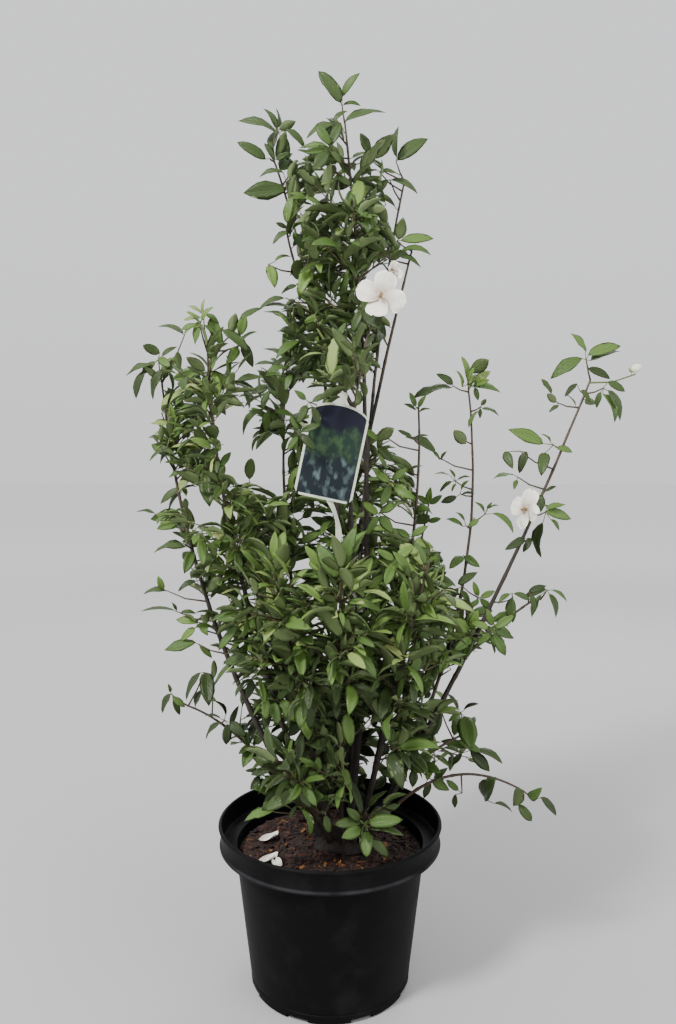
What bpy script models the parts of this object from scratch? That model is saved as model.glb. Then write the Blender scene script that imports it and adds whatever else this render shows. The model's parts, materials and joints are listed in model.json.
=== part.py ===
"""A mock orange in flower, a shrub of many canes about a metre tall, in its black nursery pot.

Metres, +Z up. The origin is the centre of the pot's flat underside, and the plant is seen
from the front along +Y. Every cane is a bare bough that ends where it enters a mass of
leaves, and the mass grows on from there by one rule, seeded with the cane's name.
"""

import math
import random
from typing import NamedTuple

import bmesh
import bpy
import numpy as np
from mathutils import Quaternion, Vector
from mathutils.bvhtree import BVHTree

# The pot: a thin moulded shell with a deep rim band that overhangs the body by a ledge
POT_HEIGHT = 0.180
RIM_RADIUS = 0.1245
LIP_WIDTH = 0.0035
BAND_HEIGHT = 0.026
BAND_FOOT_RADIUS = 0.1215
BODY_TOP_RADIUS = 0.1060
FOOT_RADIUS = 0.0885
WALL = 0.0020
FLOOR = 0.0070
POT_SIDES = 40
NOTCHES = 8
NOTCH_WIDTH = 0.024
NOTCH_HEIGHT = 0.0045
NOTCH_DEPTH = 0.006

# The soil, a little below the rim band's ledge
SOIL_TOP = 0.150
SOIL_MOUND = 0.004
SOIL_SIDES = 32

# The root crown that the canes spring from, cut flat at the soil
CROWN_CENTRE = Vector((0.016, 0.000, SOIL_TOP))
CROWN_WIDTH = 0.036
CROWN_DEPTH = 0.030
CROWN_HEIGHT = 0.020
CROWN_SIDES = 14
CROWN_LOBES = 5
CROWN_FLARE = 0.09
FURTHEST_FOOT = 0.68
FOOT_SPREAD = 2.0
FOOT_HEIGHT = 0.004
STUB_START = 0.001
STUB_LENGTH = 0.030
STUB_SIDES = 5

# Clearance between two solids that touch in the real plant
GAP = 0.0003

# Canes
LIMB_SIDES = 6
LIMB_STEP = 0.060
TIP_RADIUS = 0.0011

# Twigs, and the nodes on stems and twigs that leaves and side twigs spring from
TWIG_RADIUS = 0.0015
TWIG_FOOT = 1.1
STEM_NODE = 0.038
FIRST_NODE = 0.014
LAST_NODE = 0.020
LAST_GAP = 0.010
TWIG_NODE = 0.022
FIRST_TWIG_NODE = 0.008
NODE_HEIGHT = 0.0026
SHORTEST_TWIG = 0.014
TWIG_RISE = 0.12

# Leaves: a blade's widest place, crest and curl are shares of its length
LEAF_LENGTH = 0.054
LEAF_HALF_WIDTH = 0.26
LEAF_THICKNESS = 0.0016
LEAF_ROOM = 0.0010
SMALL_LEAF = 0.78
BELLY = 0.42
BELLY_LIFT = 0.05
CREST = 0.36
TIP_DROP = 0.07
SPREAD_ON_TWIG = 1.08
SPREAD_BELOW_TIP = 1.05
SPREAD_AT_TIP = 0.80

# How much of its reach a mass uses where it starts and at its tip
REACH_AT_START = 0.72
REACH_PHASE = 0.15

# Blossoms and buds
PETAL_LENGTH = 0.025
PETAL_HALF_WIDTH = 0.50
PETAL_THICKNESS = 0.0018
PETAL_CUP = 0.18
PETAL_OVERLAP = 0.0004
STALK_END = 1.6
STALK_SAG = 0.004
BUD_LENGTH = 0.014

# The hanging label: an arched card with a strap ring round one cane and a loose tail
CARD_WIDTH = 0.060
CARD_HEIGHT = 0.098
CARD_THICKNESS = 0.0010
CARD_CENTRE = Vector((0.003, -0.071, 0.588))
CARD_TILT = math.radians(12)
CARD_ARCH = 0.014
ARCH_STEPS = 8
STRAP_WIDTH = 0.008
STRAP_HEIGHT = 0.552
STRAP_WALL = 0.0012
STRAP_ROOM = 0.0009
STRAP_SIDES = 16
WEB_WIDTH = 0.005
TAIL_ROOT = Vector((0.004, 0.0, 0.006 - CARD_HEIGHT / 2))
TAIL_DRIFT = Vector((0.030, -0.016, -0.118))
TAIL_STEPS = 6


class Shoot(NamedTuple):
    """One cane: a smooth curve from its foot through a middle to a tip, and how it carries leaves."""

    middle: tuple
    tip: tuple
    radius: float
    bare: float
    reach: float
    parent: str = ""
    leaves_at: float = 0.0


# Canes from the root crown. bare is the share of the curve that is a bough with no leaves, and
# reach is how far the leaves of the mass above it stand out from the curve.
SHOOTS = {
    "leader": Shoot((0.040, -0.008, 0.540), (0.016, -0.020, 0.934), 0.0042, 0.66, 0.074),
    "leader_left": Shoot((0.002, 0.018, 0.600), (-0.066, 0.030, 0.924), 0.0036, 0.70, 0.062),
    "leader_right": Shoot((0.044, 0.038, 0.600), (0.083, 0.030, 0.892), 0.0036, 0.70, 0.062),
    "left_outer": Shoot((-0.128, 0.000, 0.400), (-0.186, 0.010, 0.666), 0.0036, 0.46, 0.062),
    "left_inner": Shoot((-0.098, -0.018, 0.460), (-0.129, -0.030, 0.694), 0.0034, 0.52, 0.066),
    "left_mid": Shoot((-0.048, 0.046, 0.465), (-0.050, 0.060, 0.695), 0.0032, 0.56, 0.072),
    "centre_right": Shoot((0.086, 0.008, 0.440), (0.098, 0.010, 0.640), 0.0032, 0.48, 0.062),
    "right_thin": Shoot((0.146, 0.040, 0.400), (0.160, 0.050, 0.660), 0.0026, 0.70, 0.042),
    "right_outer": Shoot((0.176, 0.000, 0.415), (0.285, 0.000, 0.668), 0.0036, 0.66, 0.062),
    "front_left": Shoot((-0.030, -0.060, 0.330), (-0.056, -0.086, 0.474), 0.0028, 0.24, 0.072),
    "front_centre": Shoot((0.010, -0.072, 0.330), (0.012, -0.112, 0.470), 0.0028, 0.24, 0.072),
    "front_right": Shoot((0.066, -0.062, 0.330), (0.100, -0.086, 0.480), 0.0028, 0.24, 0.072),
    "back_left": Shoot((-0.050, 0.052, 0.340), (-0.092, 0.080, 0.520), 0.0028, 0.30, 0.074),
    "back_centre": Shoot((0.024, 0.064, 0.360), (0.030, 0.084, 0.600), 0.0030, 0.30, 0.078),
    "back_right": Shoot((0.078, 0.050, 0.340), (0.118, 0.080, 0.530), 0.0028, 0.30, 0.074),
    "low_left": Shoot((-0.090, 0.016, 0.252), (-0.160, 0.008, 0.304), 0.0024, 0.55, 0.056),
    "low_right": Shoot((0.122, -0.010, 0.228), (0.212, -0.020, 0.218), 0.0022, 0.42, 0.052),
    "low_back": Shoot((0.010, 0.072, 0.240), (0.010, 0.112, 0.300), 0.0024, 0.30, 0.066),
    "rim_shoot": Shoot((0.036, -0.050, 0.200), (0.044, -0.086, 0.208), 0.0018, 0.48, 0.056),
    "low_front": Shoot((-0.026, -0.052, 0.226), (-0.054, -0.088, 0.276), 0.0022, 0.30, 0.062),
}


def side_shoot(parent, leaves_at, middle, tip, radius, bare, reach):
    return Shoot(middle, tip, radius, bare, reach, parent, leaves_at)


# Side boughs, each with the cane it branches from and the share of that cane's length
SHOOTS |= {
    "leader_low_left": side_shoot(
        "leader", 0.58, (-0.020, -0.004, 0.740), (-0.046, -0.020, 0.826), 0.0022, 0.20, 0.064
    ),
    "leader_low_right": side_shoot(
        "leader_right", 0.62, (0.070, -0.002, 0.730), (0.088, -0.012, 0.804), 0.0022, 0.20, 0.060
    ),
    "leader_front": side_shoot(
        "leader", 0.30, (0.022, -0.060, 0.560), (0.040, -0.066, 0.710), 0.0026, 0.74, 0.060
    ),
    "right_side": side_shoot(
        "right_outer", 0.42, (0.218, 0.020, 0.414), (0.240, 0.022, 0.422), 0.0020, 0.40, 0.046
    ),
    "mid_left": side_shoot(
        "left_inner", 0.28, (-0.080, 0.024, 0.370), (-0.104, 0.020, 0.450), 0.0022, 0.30, 0.064
    ),
    "mid_right": side_shoot(
        "right_outer", 0.22, (0.132, 0.026, 0.350), (0.168, 0.020, 0.425), 0.0022, 0.30, 0.064
    ),
    "right_low": side_shoot(
        "right_outer", 0.16, (0.128, 0.012, 0.258), (0.160, 0.024, 0.270), 0.0020, 0.30, 0.060
    ),
}

# Where each blossom stands and which way it faces, under the mass that carries it
BLOSSOMS = {
    "leader_front": [
        ((0.052, -0.092, 0.740), (0.0, -1.0, 0.15)),
        ((0.074, -0.060, 0.770), (0.3, -1.0, 0.3)),
    ],
    "right_outer": [((0.205, -0.034, 0.527), (-0.1, -1.0, 0.1))],
}
BUD_PLACES = {"right_outer": (0.334, -0.004, 0.680)}


def clear_scene():
    for thing in list(bpy.data.objects):
        bpy.data.objects.remove(thing)


def finish(name, colour, roughness):
    """A plain Principled material."""
    material = bpy.data.materials.new(name)
    material.use_nodes = True
    shader = material.node_tree.nodes["Principled BSDF"]
    shader.inputs["Base Color"].default_value = (*colour, 1.0)
    shader.inputs["Roughness"].default_value = roughness
    return material


def place_object(name, mesh, material):
    thing = bpy.data.objects.new(name, mesh)
    thing.data.materials.append(material)
    bpy.context.scene.collection.objects.link(thing)
    return thing


def mesh_of(name, shell):
    """Turns a bmesh into a mesh with its faces pointing out."""
    bmesh.ops.recalc_face_normals(shell, faces=shell.faces)
    mesh = bpy.data.meshes.new(name)
    shell.to_mesh(mesh)
    shell.free()
    return mesh


def add_band(shell, lower, upper):
    """Faces between two loops of corners that run the same way."""
    for index in range(len(lower)):
        after = (index + 1) % len(lower)
        shell.faces.new((lower[index], lower[after], upper[after], upper[index]))


def fuse(thing, shells):
    """Joins shells to an object by one union on a collection, then removes the collection."""
    pieces = bpy.data.collections.new(thing.name + "_pieces")
    bpy.context.scene.collection.children.link(pieces)
    for shell in shells:
        pieces.objects.link(bpy.data.objects.new("piece", mesh_of("piece", shell)))
    union = thing.modifiers.new("Pieces", "BOOLEAN")
    union.operation = "UNION"
    union.operand_type = "COLLECTION"
    union.collection = pieces
    union.solver = "EXACT"
    bpy.context.view_layer.objects.active = thing
    bpy.ops.object.modifier_apply(modifier=union.name)
    for piece in list(pieces.objects):
        bpy.data.objects.remove(piece)
    bpy.data.collections.remove(pieces)


def turned_shell(profile, sides):
    """A body turned from (radius, height) points, closed by a flat face at each end."""
    shell = bmesh.new()
    rings = []
    for radius, height in profile:
        ring = []
        for side in range(sides):
            angle = math.tau * side / sides
            ring.append(shell.verts.new((radius * math.cos(angle), radius * math.sin(angle), height)))
        rings.append(ring)
    for lower, upper in zip(rings, rings[1:]):
        add_band(shell, lower, upper)
    shell.faces.new(rings[0])
    shell.faces.new(rings[-1])
    return shell


def tube_shell(points, directions, radii, sides):
    """A tapering tube through the points, with each ring square to its direction and flat ends."""
    shell = bmesh.new()
    rings = []
    across = directions[0].orthogonal()
    for point, along, radius in zip(points, directions, radii):
        across = (across - along * across.dot(along)).normalized()
        beside = along.cross(across)
        ring = []
        for side in range(sides):
            angle = math.tau * side / sides
            outward = across * math.cos(angle) + beside * math.sin(angle)
            ring.append(shell.verts.new(point + outward * radius))
        rings.append(ring)
    for lower, upper in zip(rings, rings[1:]):
        add_band(shell, lower, upper)
    shell.faces.new(rings[0])
    shell.faces.new(rings[-1])
    return shell


class Curve:
    """The line down the middle of a cane, read by the distance along it."""

    SAMPLES = 60

    def __init__(self, foot, middle, tip):
        self.points = []
        for index in range(self.SAMPLES + 1):
            t = index / self.SAMPLES
            weights = ((1 - t) * (1 - 2 * t), 4 * t * (1 - t), t * (2 * t - 1))
            self.points.append(foot * weights[0] + middle * weights[1] + tip * weights[2])
        self.reached = [0.0]
        for here, there in zip(self.points, self.points[1:]):
            self.reached.append(self.reached[-1] + (there - here).length)
        self.length = self.reached[-1]

    def at(self, distance):
        """The point at this distance, and the direction there."""
        index = max(1, sum(reached < distance for reached in self.reached))
        index = min(index, self.SAMPLES)
        here, there = self.points[index - 1], self.points[index]
        step = self.reached[index] - self.reached[index - 1]
        share = (distance - self.reached[index - 1]) / step
        return here.lerp(there, share), (there - here).normalized()


def limb_radius(shoot, share):
    return shoot.radius + (TIP_RADIUS - shoot.radius) * share


def limb_shell(shoot, curve, start, end, sides=LIMB_SIDES):
    """The stretch of a cane from one distance along it to another."""
    steps = max(2, round((end - start) / LIMB_STEP))
    distances = [start + (end - start) * step / steps for step in range(steps + 1)]
    points, directions = zip(*(curve.at(distance) for distance in distances))
    radii = [limb_radius(shoot, distance / curve.length) for distance in distances]
    return tube_shell(points, directions, radii, sides)


def foot_on_crown(shoot):
    """Canes that lean further spring from nearer the edge of the root crown."""
    lean = Vector(shoot.middle) - CROWN_CENTRE
    flat = Vector((lean.x, lean.y, 0.0))
    share = min(FURTHEST_FOOT, FOOT_SPREAD * flat.length / lean.length)
    outward = flat.normalized() * share
    return CROWN_CENTRE + Vector((outward.x * CROWN_WIDTH, outward.y * CROWN_DEPTH, FOOT_HEIGHT))


def lay_out_canes():
    """The curve of each shoot and the distance along it where its own solid starts."""
    curves, starts = {}, {}
    for name, shoot in SHOOTS.items():
        if shoot.parent:
            parent = curves[shoot.parent]
            distance = shoot.leaves_at * parent.length
            foot, parent_along = parent.at(distance)
            curve = Curve(foot, Vector(shoot.middle), Vector(shoot.tip))
            angle = curve.at(0.0)[1].angle(parent_along)
            thick = limb_radius(SHOOTS[shoot.parent], shoot.leaves_at)
            slope = thick * math.cos(math.pi / LIMB_SIDES) + GAP * 2 + shoot.radius * abs(math.cos(angle))
            starts[name] = slope / math.sin(angle)
        else:
            curve = Curve(foot_on_crown(shoot), Vector(shoot.middle), Vector(shoot.tip))
            starts[name] = STUB_LENGTH + GAP
        curves[name] = curve
    return curves, starts


def solid_tree(points, faces):
    return BVHTree.FromPolygons(points, faces, epsilon=0.0)


class Taken:
    """The solids that stand already, for telling whether a new one would touch them."""

    def __init__(self):
        self.solids = []

    def add(self, points, faces):
        middle = sum(points, Vector()) / len(points)
        radius = max((point - middle).length for point in points)
        self.solids.append((middle, radius, solid_tree(points, faces)))
        return len(self.solids) - 1

    def add_object(self, thing):
        points = [thing.matrix_world @ vertex.co for vertex in thing.data.vertices]
        faces = [tuple(face.vertices) for face in thing.data.polygons]
        return self.add(points, faces)

    def is_free(self, points, faces, allowed=()):
        middle = sum(points, Vector()) / len(points)
        radius = max((point - middle).length for point in points)
        tree = None
        for index, (other, reach, other_tree) in enumerate(self.solids):
            if index in allowed or (other - middle).length > radius + reach:
                continue
            tree = tree or solid_tree(points, faces)
            if tree.overlap(other_tree):
                return False
        return True


LEAF_FACES = ((0, 1, 3), (0, 3, 2), (0, 2, 4), (0, 4, 1), (5, 3, 1), (5, 2, 3), (5, 4, 2), (5, 1, 4))


def leaf_points(base, along, up, length, half_width, thickness):
    """A pointed blade of eight faces: base, left, right, upper side, underside and tip."""
    up = (up - along * up.dot(along)).normalized()
    beside = up.cross(along)
    belly = base + along * length * BELLY + up * length * BELLY_LIFT
    rib = base + along * length * CREST
    return [
        base,
        belly - beside * length * half_width,
        belly + beside * length * half_width,
        rib + up * thickness / 2,
        rib - up * thickness / 2,
        base + along * length - up * length * TIP_DROP,
    ]


def leaf_shell(points):
    shell = bmesh.new()
    corners = [shell.verts.new(point) for point in points]
    for face in LEAF_FACES:
        shell.faces.new([corners[corner] for corner in face])
    return shell


class Branch:
    """A four-sided stem or twig. Leaves grow out of its own side faces and its tip, so all is one skin."""

    SIDES = 4

    def __init__(self, stations, turn):
        """Each station is a place on the middle line, the direction there and the radius."""
        self.rings = []
        self.outward = []
        self.blades = {}
        across = Quaternion(stations[0][1], turn) @ stations[0][1].orthogonal()
        for place, along, radius in stations:
            across = (across - along * across.dot(along)).normalized()
            beside = along.cross(across)
            corners, outward = [], []
            for side in range(self.SIDES):
                angle = math.tau * side / self.SIDES
                corners.append(place + (across * math.cos(angle) + beside * math.sin(angle)) * radius)
                angle += math.pi / self.SIDES
                outward.append(across * math.cos(angle) + beside * math.sin(angle))
            self.rings.append(corners)
            self.outward.append(outward)

    def side_corners(self, segment, side):
        after = (side + 1) % self.SIDES
        return ((segment, side), (segment, after), (segment + 1, after), (segment + 1, side))

    def tip_corners(self):
        return tuple((len(self.rings) - 1, side) for side in range(self.SIDES))

    def middle_of(self, corners):
        return sum((self.rings[ring][side] for ring, side in corners), Vector()) / len(corners)

    def add_blade(self, corners, points):
        """Remembers a leaf on a face, turned so that its neck twists least."""
        _, left, right, upper, under, tip = points
        diamond = [under, right, upper, left]
        places = [self.rings[ring][side] for ring, side in corners]
        edges = [(places[i] + places[(i + 1) % 4]) / 2 for i in range(4)]
        middle = sum(edges, Vector()) / 4

        def likeness(shift):
            belly = sum(diamond, Vector()) / 4
            pairs = ((edges[i] - middle, diamond[(i + shift) % 4] - belly) for i in range(4))
            return sum(edge.normalized().dot(corner.normalized()) for edge, corner in pairs)

        shift = max(range(4), key=likeness)
        self.blades[corners] = ([diamond[(i + shift) % 4] for i in range(4)], tip)

    def shell(self):
        shell = bmesh.new()
        rings = [[shell.verts.new(corner) for corner in ring] for ring in self.rings]
        for segment in range(len(rings) - 1):
            for side in range(self.SIDES):
                corners = self.side_corners(segment, side)
                if corners not in self.blades:
                    shell.faces.new([rings[ring][corner] for ring, corner in corners])
        shell.faces.new(rings[0])
        if self.tip_corners() not in self.blades:
            shell.faces.new(rings[-1])
        for corners, (diamond, tip) in self.blades.items():
            foot = [rings[ring][corner] for ring, corner in corners]
            belly = [shell.verts.new(place) for place in diamond]
            point = shell.verts.new(tip)
            for index in range(4):
                after = (index + 1) % 4
                shell.faces.new((foot[index], foot[after], belly[index]))
                shell.faces.new((belly[index], foot[after], belly[after]))
                shell.faces.new((belly[index], belly[after], point))
        return shell


class Spaces:
    """Which mass each place belongs to: the one whose stem is nearest for the reach it has."""

    def __init__(self, curves):
        places, reaches, owners = [], [], []
        for name, curve in curves.items():
            shoot = SHOOTS[name]
            start = curve.length * shoot.bare
            steps = max(3, round((curve.length - start) / 0.012))
            for step in range(steps + 1):
                share = step / steps
                place, _ = curve.at(start + (curve.length - start) * share)
                places.append(place)
                reaches.append(shoot.reach * reach_share(share))
                owners.append(name)
        self.places = np.array(places)
        self.reaches = np.array(reaches)
        self.owners = owners

    def holds(self, name, point):
        away = np.linalg.norm(self.places - np.array(point), axis=1) / self.reaches
        nearest = int(away.argmin())
        return self.owners[nearest] == name and away[nearest] < 1.0


def reach_share(share):
    """Leaves stand out furthest two fifths of the way up a mass and close in towards its tip."""
    wave = math.sin(math.pi * (REACH_PHASE + share * (1 - REACH_PHASE)))
    return REACH_AT_START + (1 - REACH_AT_START) * wave


class Mass:
    """One mass of foliage, grown from a stem."""

    def __init__(self, name, curve, taken, spaces):
        self.name = name
        self.shoot = SHOOTS[name]
        self.curve = curve
        self.taken = taken
        self.spaces = spaces
        self.chance = random.Random(name)
        self.start = curve.length * self.shoot.bare
        self.last_nodes = (curve.length - LAST_NODE, curve.length - NODE_HEIGHT)
        self.stem = self.lay_stem()
        self.stem_index = taken.add(*read_shell(self.stem.shell()))
        self.shells = []

    def lay_stem(self):
        """The stem, with a short face for leaves at each of its last two nodes."""
        steps = max(1, round((self.last_nodes[0] - self.start) / LIMB_STEP))
        distances = [self.start + (self.last_nodes[0] - self.start) * step / steps for step in range(steps)]
        for node in self.last_nodes:
            distances += [node, node + NODE_HEIGHT]
        stations = []
        for distance in distances:
            radius = max(limb_radius(self.shoot, distance / self.curve.length), TWIG_RADIUS)
            stations.append((*self.curve.at(distance), radius))
        return Branch(stations, self.chance.uniform(0, math.tau))

    def add_leaf(self, branch, corners, along, length, near, upright):
        """A leaf on one face of a branch, smaller or left out where it would touch or stray."""
        up = upward(along, upright, self.chance)
        base = branch.middle_of(corners)
        for size in (length, length * SMALL_LEAF):
            points = leaf_points(base, along, up, size, LEAF_HALF_WIDTH, LEAF_THICKNESS)
            wide = leaf_points(base, along, up, size, LEAF_HALF_WIDTH, LEAF_THICKNESS + LEAF_ROOM)
            if not self.spaces.holds(self.name, base + along * size * 0.7):
                continue
            if self.taken.is_free(wide, LEAF_FACES, near):
                branch.add_blade(corners, points)
                near.append(self.taken.add(wide, LEAF_FACES))
                return

    def add_pair(self, branch, segment, side, spread, length, near):
        """Two opposite leaves at a node."""
        along = (branch.rings[segment + 1][0] - branch.rings[segment][0]).normalized()
        for face in (side, side + 2):
            outward = branch.outward[segment][face]
            lean = spread + self.chance.uniform(-0.15, 0.15)
            direction = (along * math.cos(lean) + outward * math.sin(lean)).normalized()
            size = length * self.chance.uniform(0.88, 1.1)
            self.add_leaf(branch, branch.side_corners(segment, face), direction, size, near, along)

    def add_spray(self, root, direction, length, near):
        """A side twig with a pair of leaves at each node and a leaf at its tip."""
        tip = root + direction * length + Vector((0.0, 0.0, length * TWIG_RISE))
        along = (tip - root).normalized()
        length = (tip - root).length
        nodes = [length - NODE_HEIGHT]
        while nodes[0] - TWIG_NODE > FIRST_TWIG_NODE:
            nodes.insert(0, nodes[0] - TWIG_NODE)
        stations = [(root, along, TWIG_RADIUS * TWIG_FOOT)]
        for node in nodes:
            for edge in (node, node + NODE_HEIGHT):
                stations.append((root + along * edge, along, TWIG_RADIUS))
        branch = Branch(stations, self.chance.uniform(0, math.tau))
        bare = tube_shell([root, tip], [along, along], [TWIG_RADIUS * TWIG_FOOT, TWIG_RADIUS], Branch.SIDES)
        points, faces = read_shell(bare)
        bare.free()
        if not self.taken.is_free(points, faces, near):
            return
        twig_index = self.taken.add(points, faces)
        own = [*near, twig_index]
        for index in range(len(nodes)):
            self.add_pair(branch, 1 + 2 * index, index % 2, SPREAD_ON_TWIG, LEAF_LENGTH, own)
        self.add_leaf(branch, branch.tip_corners(), along, LEAF_LENGTH, own, along.orthogonal())
        if len(branch.blades) < 2:
            del self.taken.solids[twig_index:]
            return
        near.append(twig_index)
        self.shells.append(branch.shell())

    def grow(self):
        """Leaves round the stem's tip, and pairs of sprays up to them, each turned a right angle on."""
        near = [self.stem_index]
        last = len(self.stem.rings) - 2
        along = self.curve.at(self.curve.length)[1]
        self.add_leaf(self.stem, self.stem.tip_corners(), along, LEAF_LENGTH, near, along.orthogonal())
        self.add_pair(self.stem, last, 0, SPREAD_AT_TIP, LEAF_LENGTH, near)
        self.add_pair(self.stem, last - 2, 1, SPREAD_BELOW_TIP, LEAF_LENGTH, near)
        turn = self.chance.uniform(0, math.tau)
        distance = self.start + FIRST_NODE
        end = self.last_nodes[0] - LAST_GAP
        while distance < end:
            node, along = self.curve.at(distance)
            across = Quaternion(along, turn) @ along.orthogonal().normalized()
            share = (distance - self.start) / (self.curve.length - self.start)
            room = self.shoot.reach * reach_share(share) - LEAF_LENGTH * 0.8
            near = [self.stem_index]
            for sign in (1, -1):
                spread = self.chance.uniform(0.9, 1.25)
                direction = (along * math.cos(spread) + across * sign * math.sin(spread)).normalized()
                length = max(SHORTEST_TWIG, room * self.chance.uniform(0.8, 1.15))
                self.add_spray(node, direction, length, near)
            turn += math.pi / 2 + self.chance.uniform(-0.3, 0.3)
            distance += STEM_NODE * self.chance.uniform(0.85, 1.1)

    def flower(self):
        """Blossoms and buds come before the leaves, which then keep off them."""
        for place, facing in BLOSSOMS.get(self.name, ()):
            self.add_blossom(Vector(place), Vector(facing).normalized())
        if self.name in BUD_PLACES:
            self.add_bud(Vector(BUD_PLACES[self.name]))

    def nearest_node(self, place):
        """The place on the stem that a stalk to here would leave from, a little below it if it can."""
        first, last = self.start + FIRST_NODE, self.curve.length - NODE_HEIGHT
        nodes = [self.curve.at(first + (last - first) * step / 30)[0] for step in range(31)]

        def cost(node):
            return (node - place).length + max(0.0, node.z - place.z + FIRST_NODE)

        return min(nodes, key=cost)

    def add_stalk(self, place, end_radius):
        node = self.nearest_node(place)
        bend = node.lerp(place, 0.5) - Vector((0.0, 0.0, STALK_SAG))
        directions = [(bend - node).normalized(), (place - node).normalized(), (place - bend).normalized()]
        radii = [TWIG_RADIUS * TWIG_FOOT, TWIG_RADIUS, end_radius]
        shell = tube_shell([node, bend, place], directions, radii, 3)
        points, faces = read_shell(shell)
        self.shells.append(shell)
        self.taken.add(points, faces)

    def add_blossom(self, place, facing):
        """Four broad petals round a stalk, cupped a little towards the front."""
        self.add_stalk(place + facing * TWIG_RADIUS, TWIG_RADIUS * STALK_END)
        across = facing.orthogonal().normalized()
        for petal in range(4):
            outward = Quaternion(facing, math.tau * petal / 4 + 0.5) @ across
            along = (outward + facing * PETAL_CUP).normalized()
            base = place - outward * TWIG_RADIUS * 0.8 + facing * PETAL_OVERLAP * petal
            points = leaf_points(base, along, facing, PETAL_LENGTH, PETAL_HALF_WIDTH, PETAL_THICKNESS)
            self.shells.append(leaf_shell(points))
            self.taken.add(points, LEAF_FACES)

    def add_bud(self, place):
        self.add_stalk(place, TWIG_RADIUS)
        bud = bmesh.new()
        bmesh.ops.create_icosphere(bud, subdivisions=1, radius=BUD_LENGTH / 2)
        bmesh.ops.translate(bud, verts=bud.verts, vec=place)
        self.shells.append(bud)

    def join(self, material):
        """Fuses every twig and leaf to the stem and drops what stayed loose."""
        name = self.name + "_leaves"
        stem = place_object(name, mesh_of(name, self.stem.shell()), material)
        fuse(stem, self.shells)
        keep_largest_body(stem.data)


def read_shell(shell):
    """The corners and faces of a bmesh, as lists."""
    shell.verts.index_update()
    faces = [tuple(vertex.index for vertex in face.verts) for face in shell.faces]
    return [vertex.co.copy() for vertex in shell.verts], faces


def upward(direction, along, chance):
    """Which way the upper side of a blade faces: the sky, or outwards where the blade stands upright."""
    sky = Vector((0.0, 0.0, 1.0))
    side = direction.cross(sky)
    if side.length < 0.35:
        side = direction.cross(along)
    up = side.cross(direction).normalized()
    return Quaternion(direction, chance.uniform(-0.6, 0.6)) @ up


def keep_largest_body(mesh):
    """Drops loose scraps that a union leaves."""
    shell = bmesh.new()
    shell.from_mesh(mesh)
    unseen = set(shell.faces)
    bodies = []
    while unseen:
        body, edge_of_body = set(), [unseen.pop()]
        while edge_of_body:
            face = edge_of_body.pop()
            body.add(face)
            for edge in face.edges:
                for other in edge.link_faces:
                    if other in unseen:
                        unseen.remove(other)
                        edge_of_body.append(other)
        bodies.append(body)
    bodies.sort(key=len)
    for body in bodies[:-1]:
        bmesh.ops.delete(shell, geom=list(body), context="FACES")
    shell.to_mesh(mesh)
    shell.free()


def build_pot(material):
    """The pot, turned in one wall from the underside over the rim to the inner floor."""
    ledge = POT_HEIGHT - BAND_HEIGHT
    profile = [
        (FOOT_RADIUS - 0.003, 0.0),
        (FOOT_RADIUS, 0.003),
        (BODY_TOP_RADIUS, ledge - 0.001),
        (BODY_TOP_RADIUS + 0.001, ledge),
        (BAND_FOOT_RADIUS, ledge),
        (BAND_FOOT_RADIUS + 0.0012, ledge + 0.0015),
        (BAND_FOOT_RADIUS + 0.0012, ledge + 0.0035),
        (BAND_FOOT_RADIUS + 0.0004, ledge + 0.0050),
        (RIM_RADIUS - 0.0012, POT_HEIGHT - 0.0040),
        (RIM_RADIUS, POT_HEIGHT - 0.0030),
        (RIM_RADIUS, POT_HEIGHT - 0.0010),
        (RIM_RADIUS - 0.0010, POT_HEIGHT),
        (RIM_RADIUS - LIP_WIDTH, POT_HEIGHT),
        (BAND_FOOT_RADIUS - WALL, ledge + WALL),
        (BODY_TOP_RADIUS - WALL, ledge + WALL),
        (FOOT_RADIUS - WALL, FLOOR),
    ]
    mesh = mesh_of("nursery_pot", turned_shell(profile, POT_SIDES))
    pot = place_object("nursery_pot", mesh, material)
    notches = bmesh.new()
    for notch in range(NOTCHES):
        before = len(notches.verts)
        bmesh.ops.create_cube(notches, size=1.0)
        notches.verts.ensure_lookup_table()
        block = notches.verts[before:]
        bmesh.ops.scale(notches, verts=block, vec=(NOTCH_DEPTH * 2, NOTCH_WIDTH, NOTCH_HEIGHT * 2))
        bmesh.ops.translate(notches, verts=block, vec=(FOOT_RADIUS, 0.0, 0.0))
        turn = Quaternion((0.0, 0.0, 1.0), math.tau * (notch + 0.5) / NOTCHES).to_matrix()
        bmesh.ops.rotate(notches, verts=block, cent=(0.0, 0.0, 0.0), matrix=turn)
    cutter = bpy.data.objects.new("drain_notch_cutter", mesh_of("drain_notch_cutter", notches))
    bpy.context.scene.collection.objects.link(cutter)
    cutter.hide_render = True
    cutter.display_type = "WIRE"
    cut = pot.modifiers.new("Drain notches", "BOOLEAN")
    cut.operation = "DIFFERENCE"
    cut.object = cutter
    return pot


def wall_radius(height):
    """The inner radius of the pot's body at this height."""
    ledge = POT_HEIGHT - BAND_HEIGHT
    share = (height - FLOOR) / (ledge + WALL - FLOOR)
    return FOOT_RADIUS - WALL + (BODY_TOP_RADIUS - FOOT_RADIUS) * share


def build_soil(material):
    """The filled inside of the pot, slightly mounded, clear of the wall all round."""
    clear = math.cos(math.pi / POT_SIDES)
    low, edge = FLOOR + GAP, SOIL_TOP - SOIL_MOUND
    profile = [(wall_radius(low) * clear - GAP, low), (wall_radius(edge) * clear - GAP, edge)]
    for share in (0.82, 0.60):
        profile.append((wall_radius(edge) * share, SOIL_TOP - SOIL_MOUND * share * 0.35))
    profile.append((CROWN_WIDTH * 1.7, SOIL_TOP))
    return place_object("soil", mesh_of("soil", turned_shell(profile, SOIL_SIDES)), material)


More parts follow.
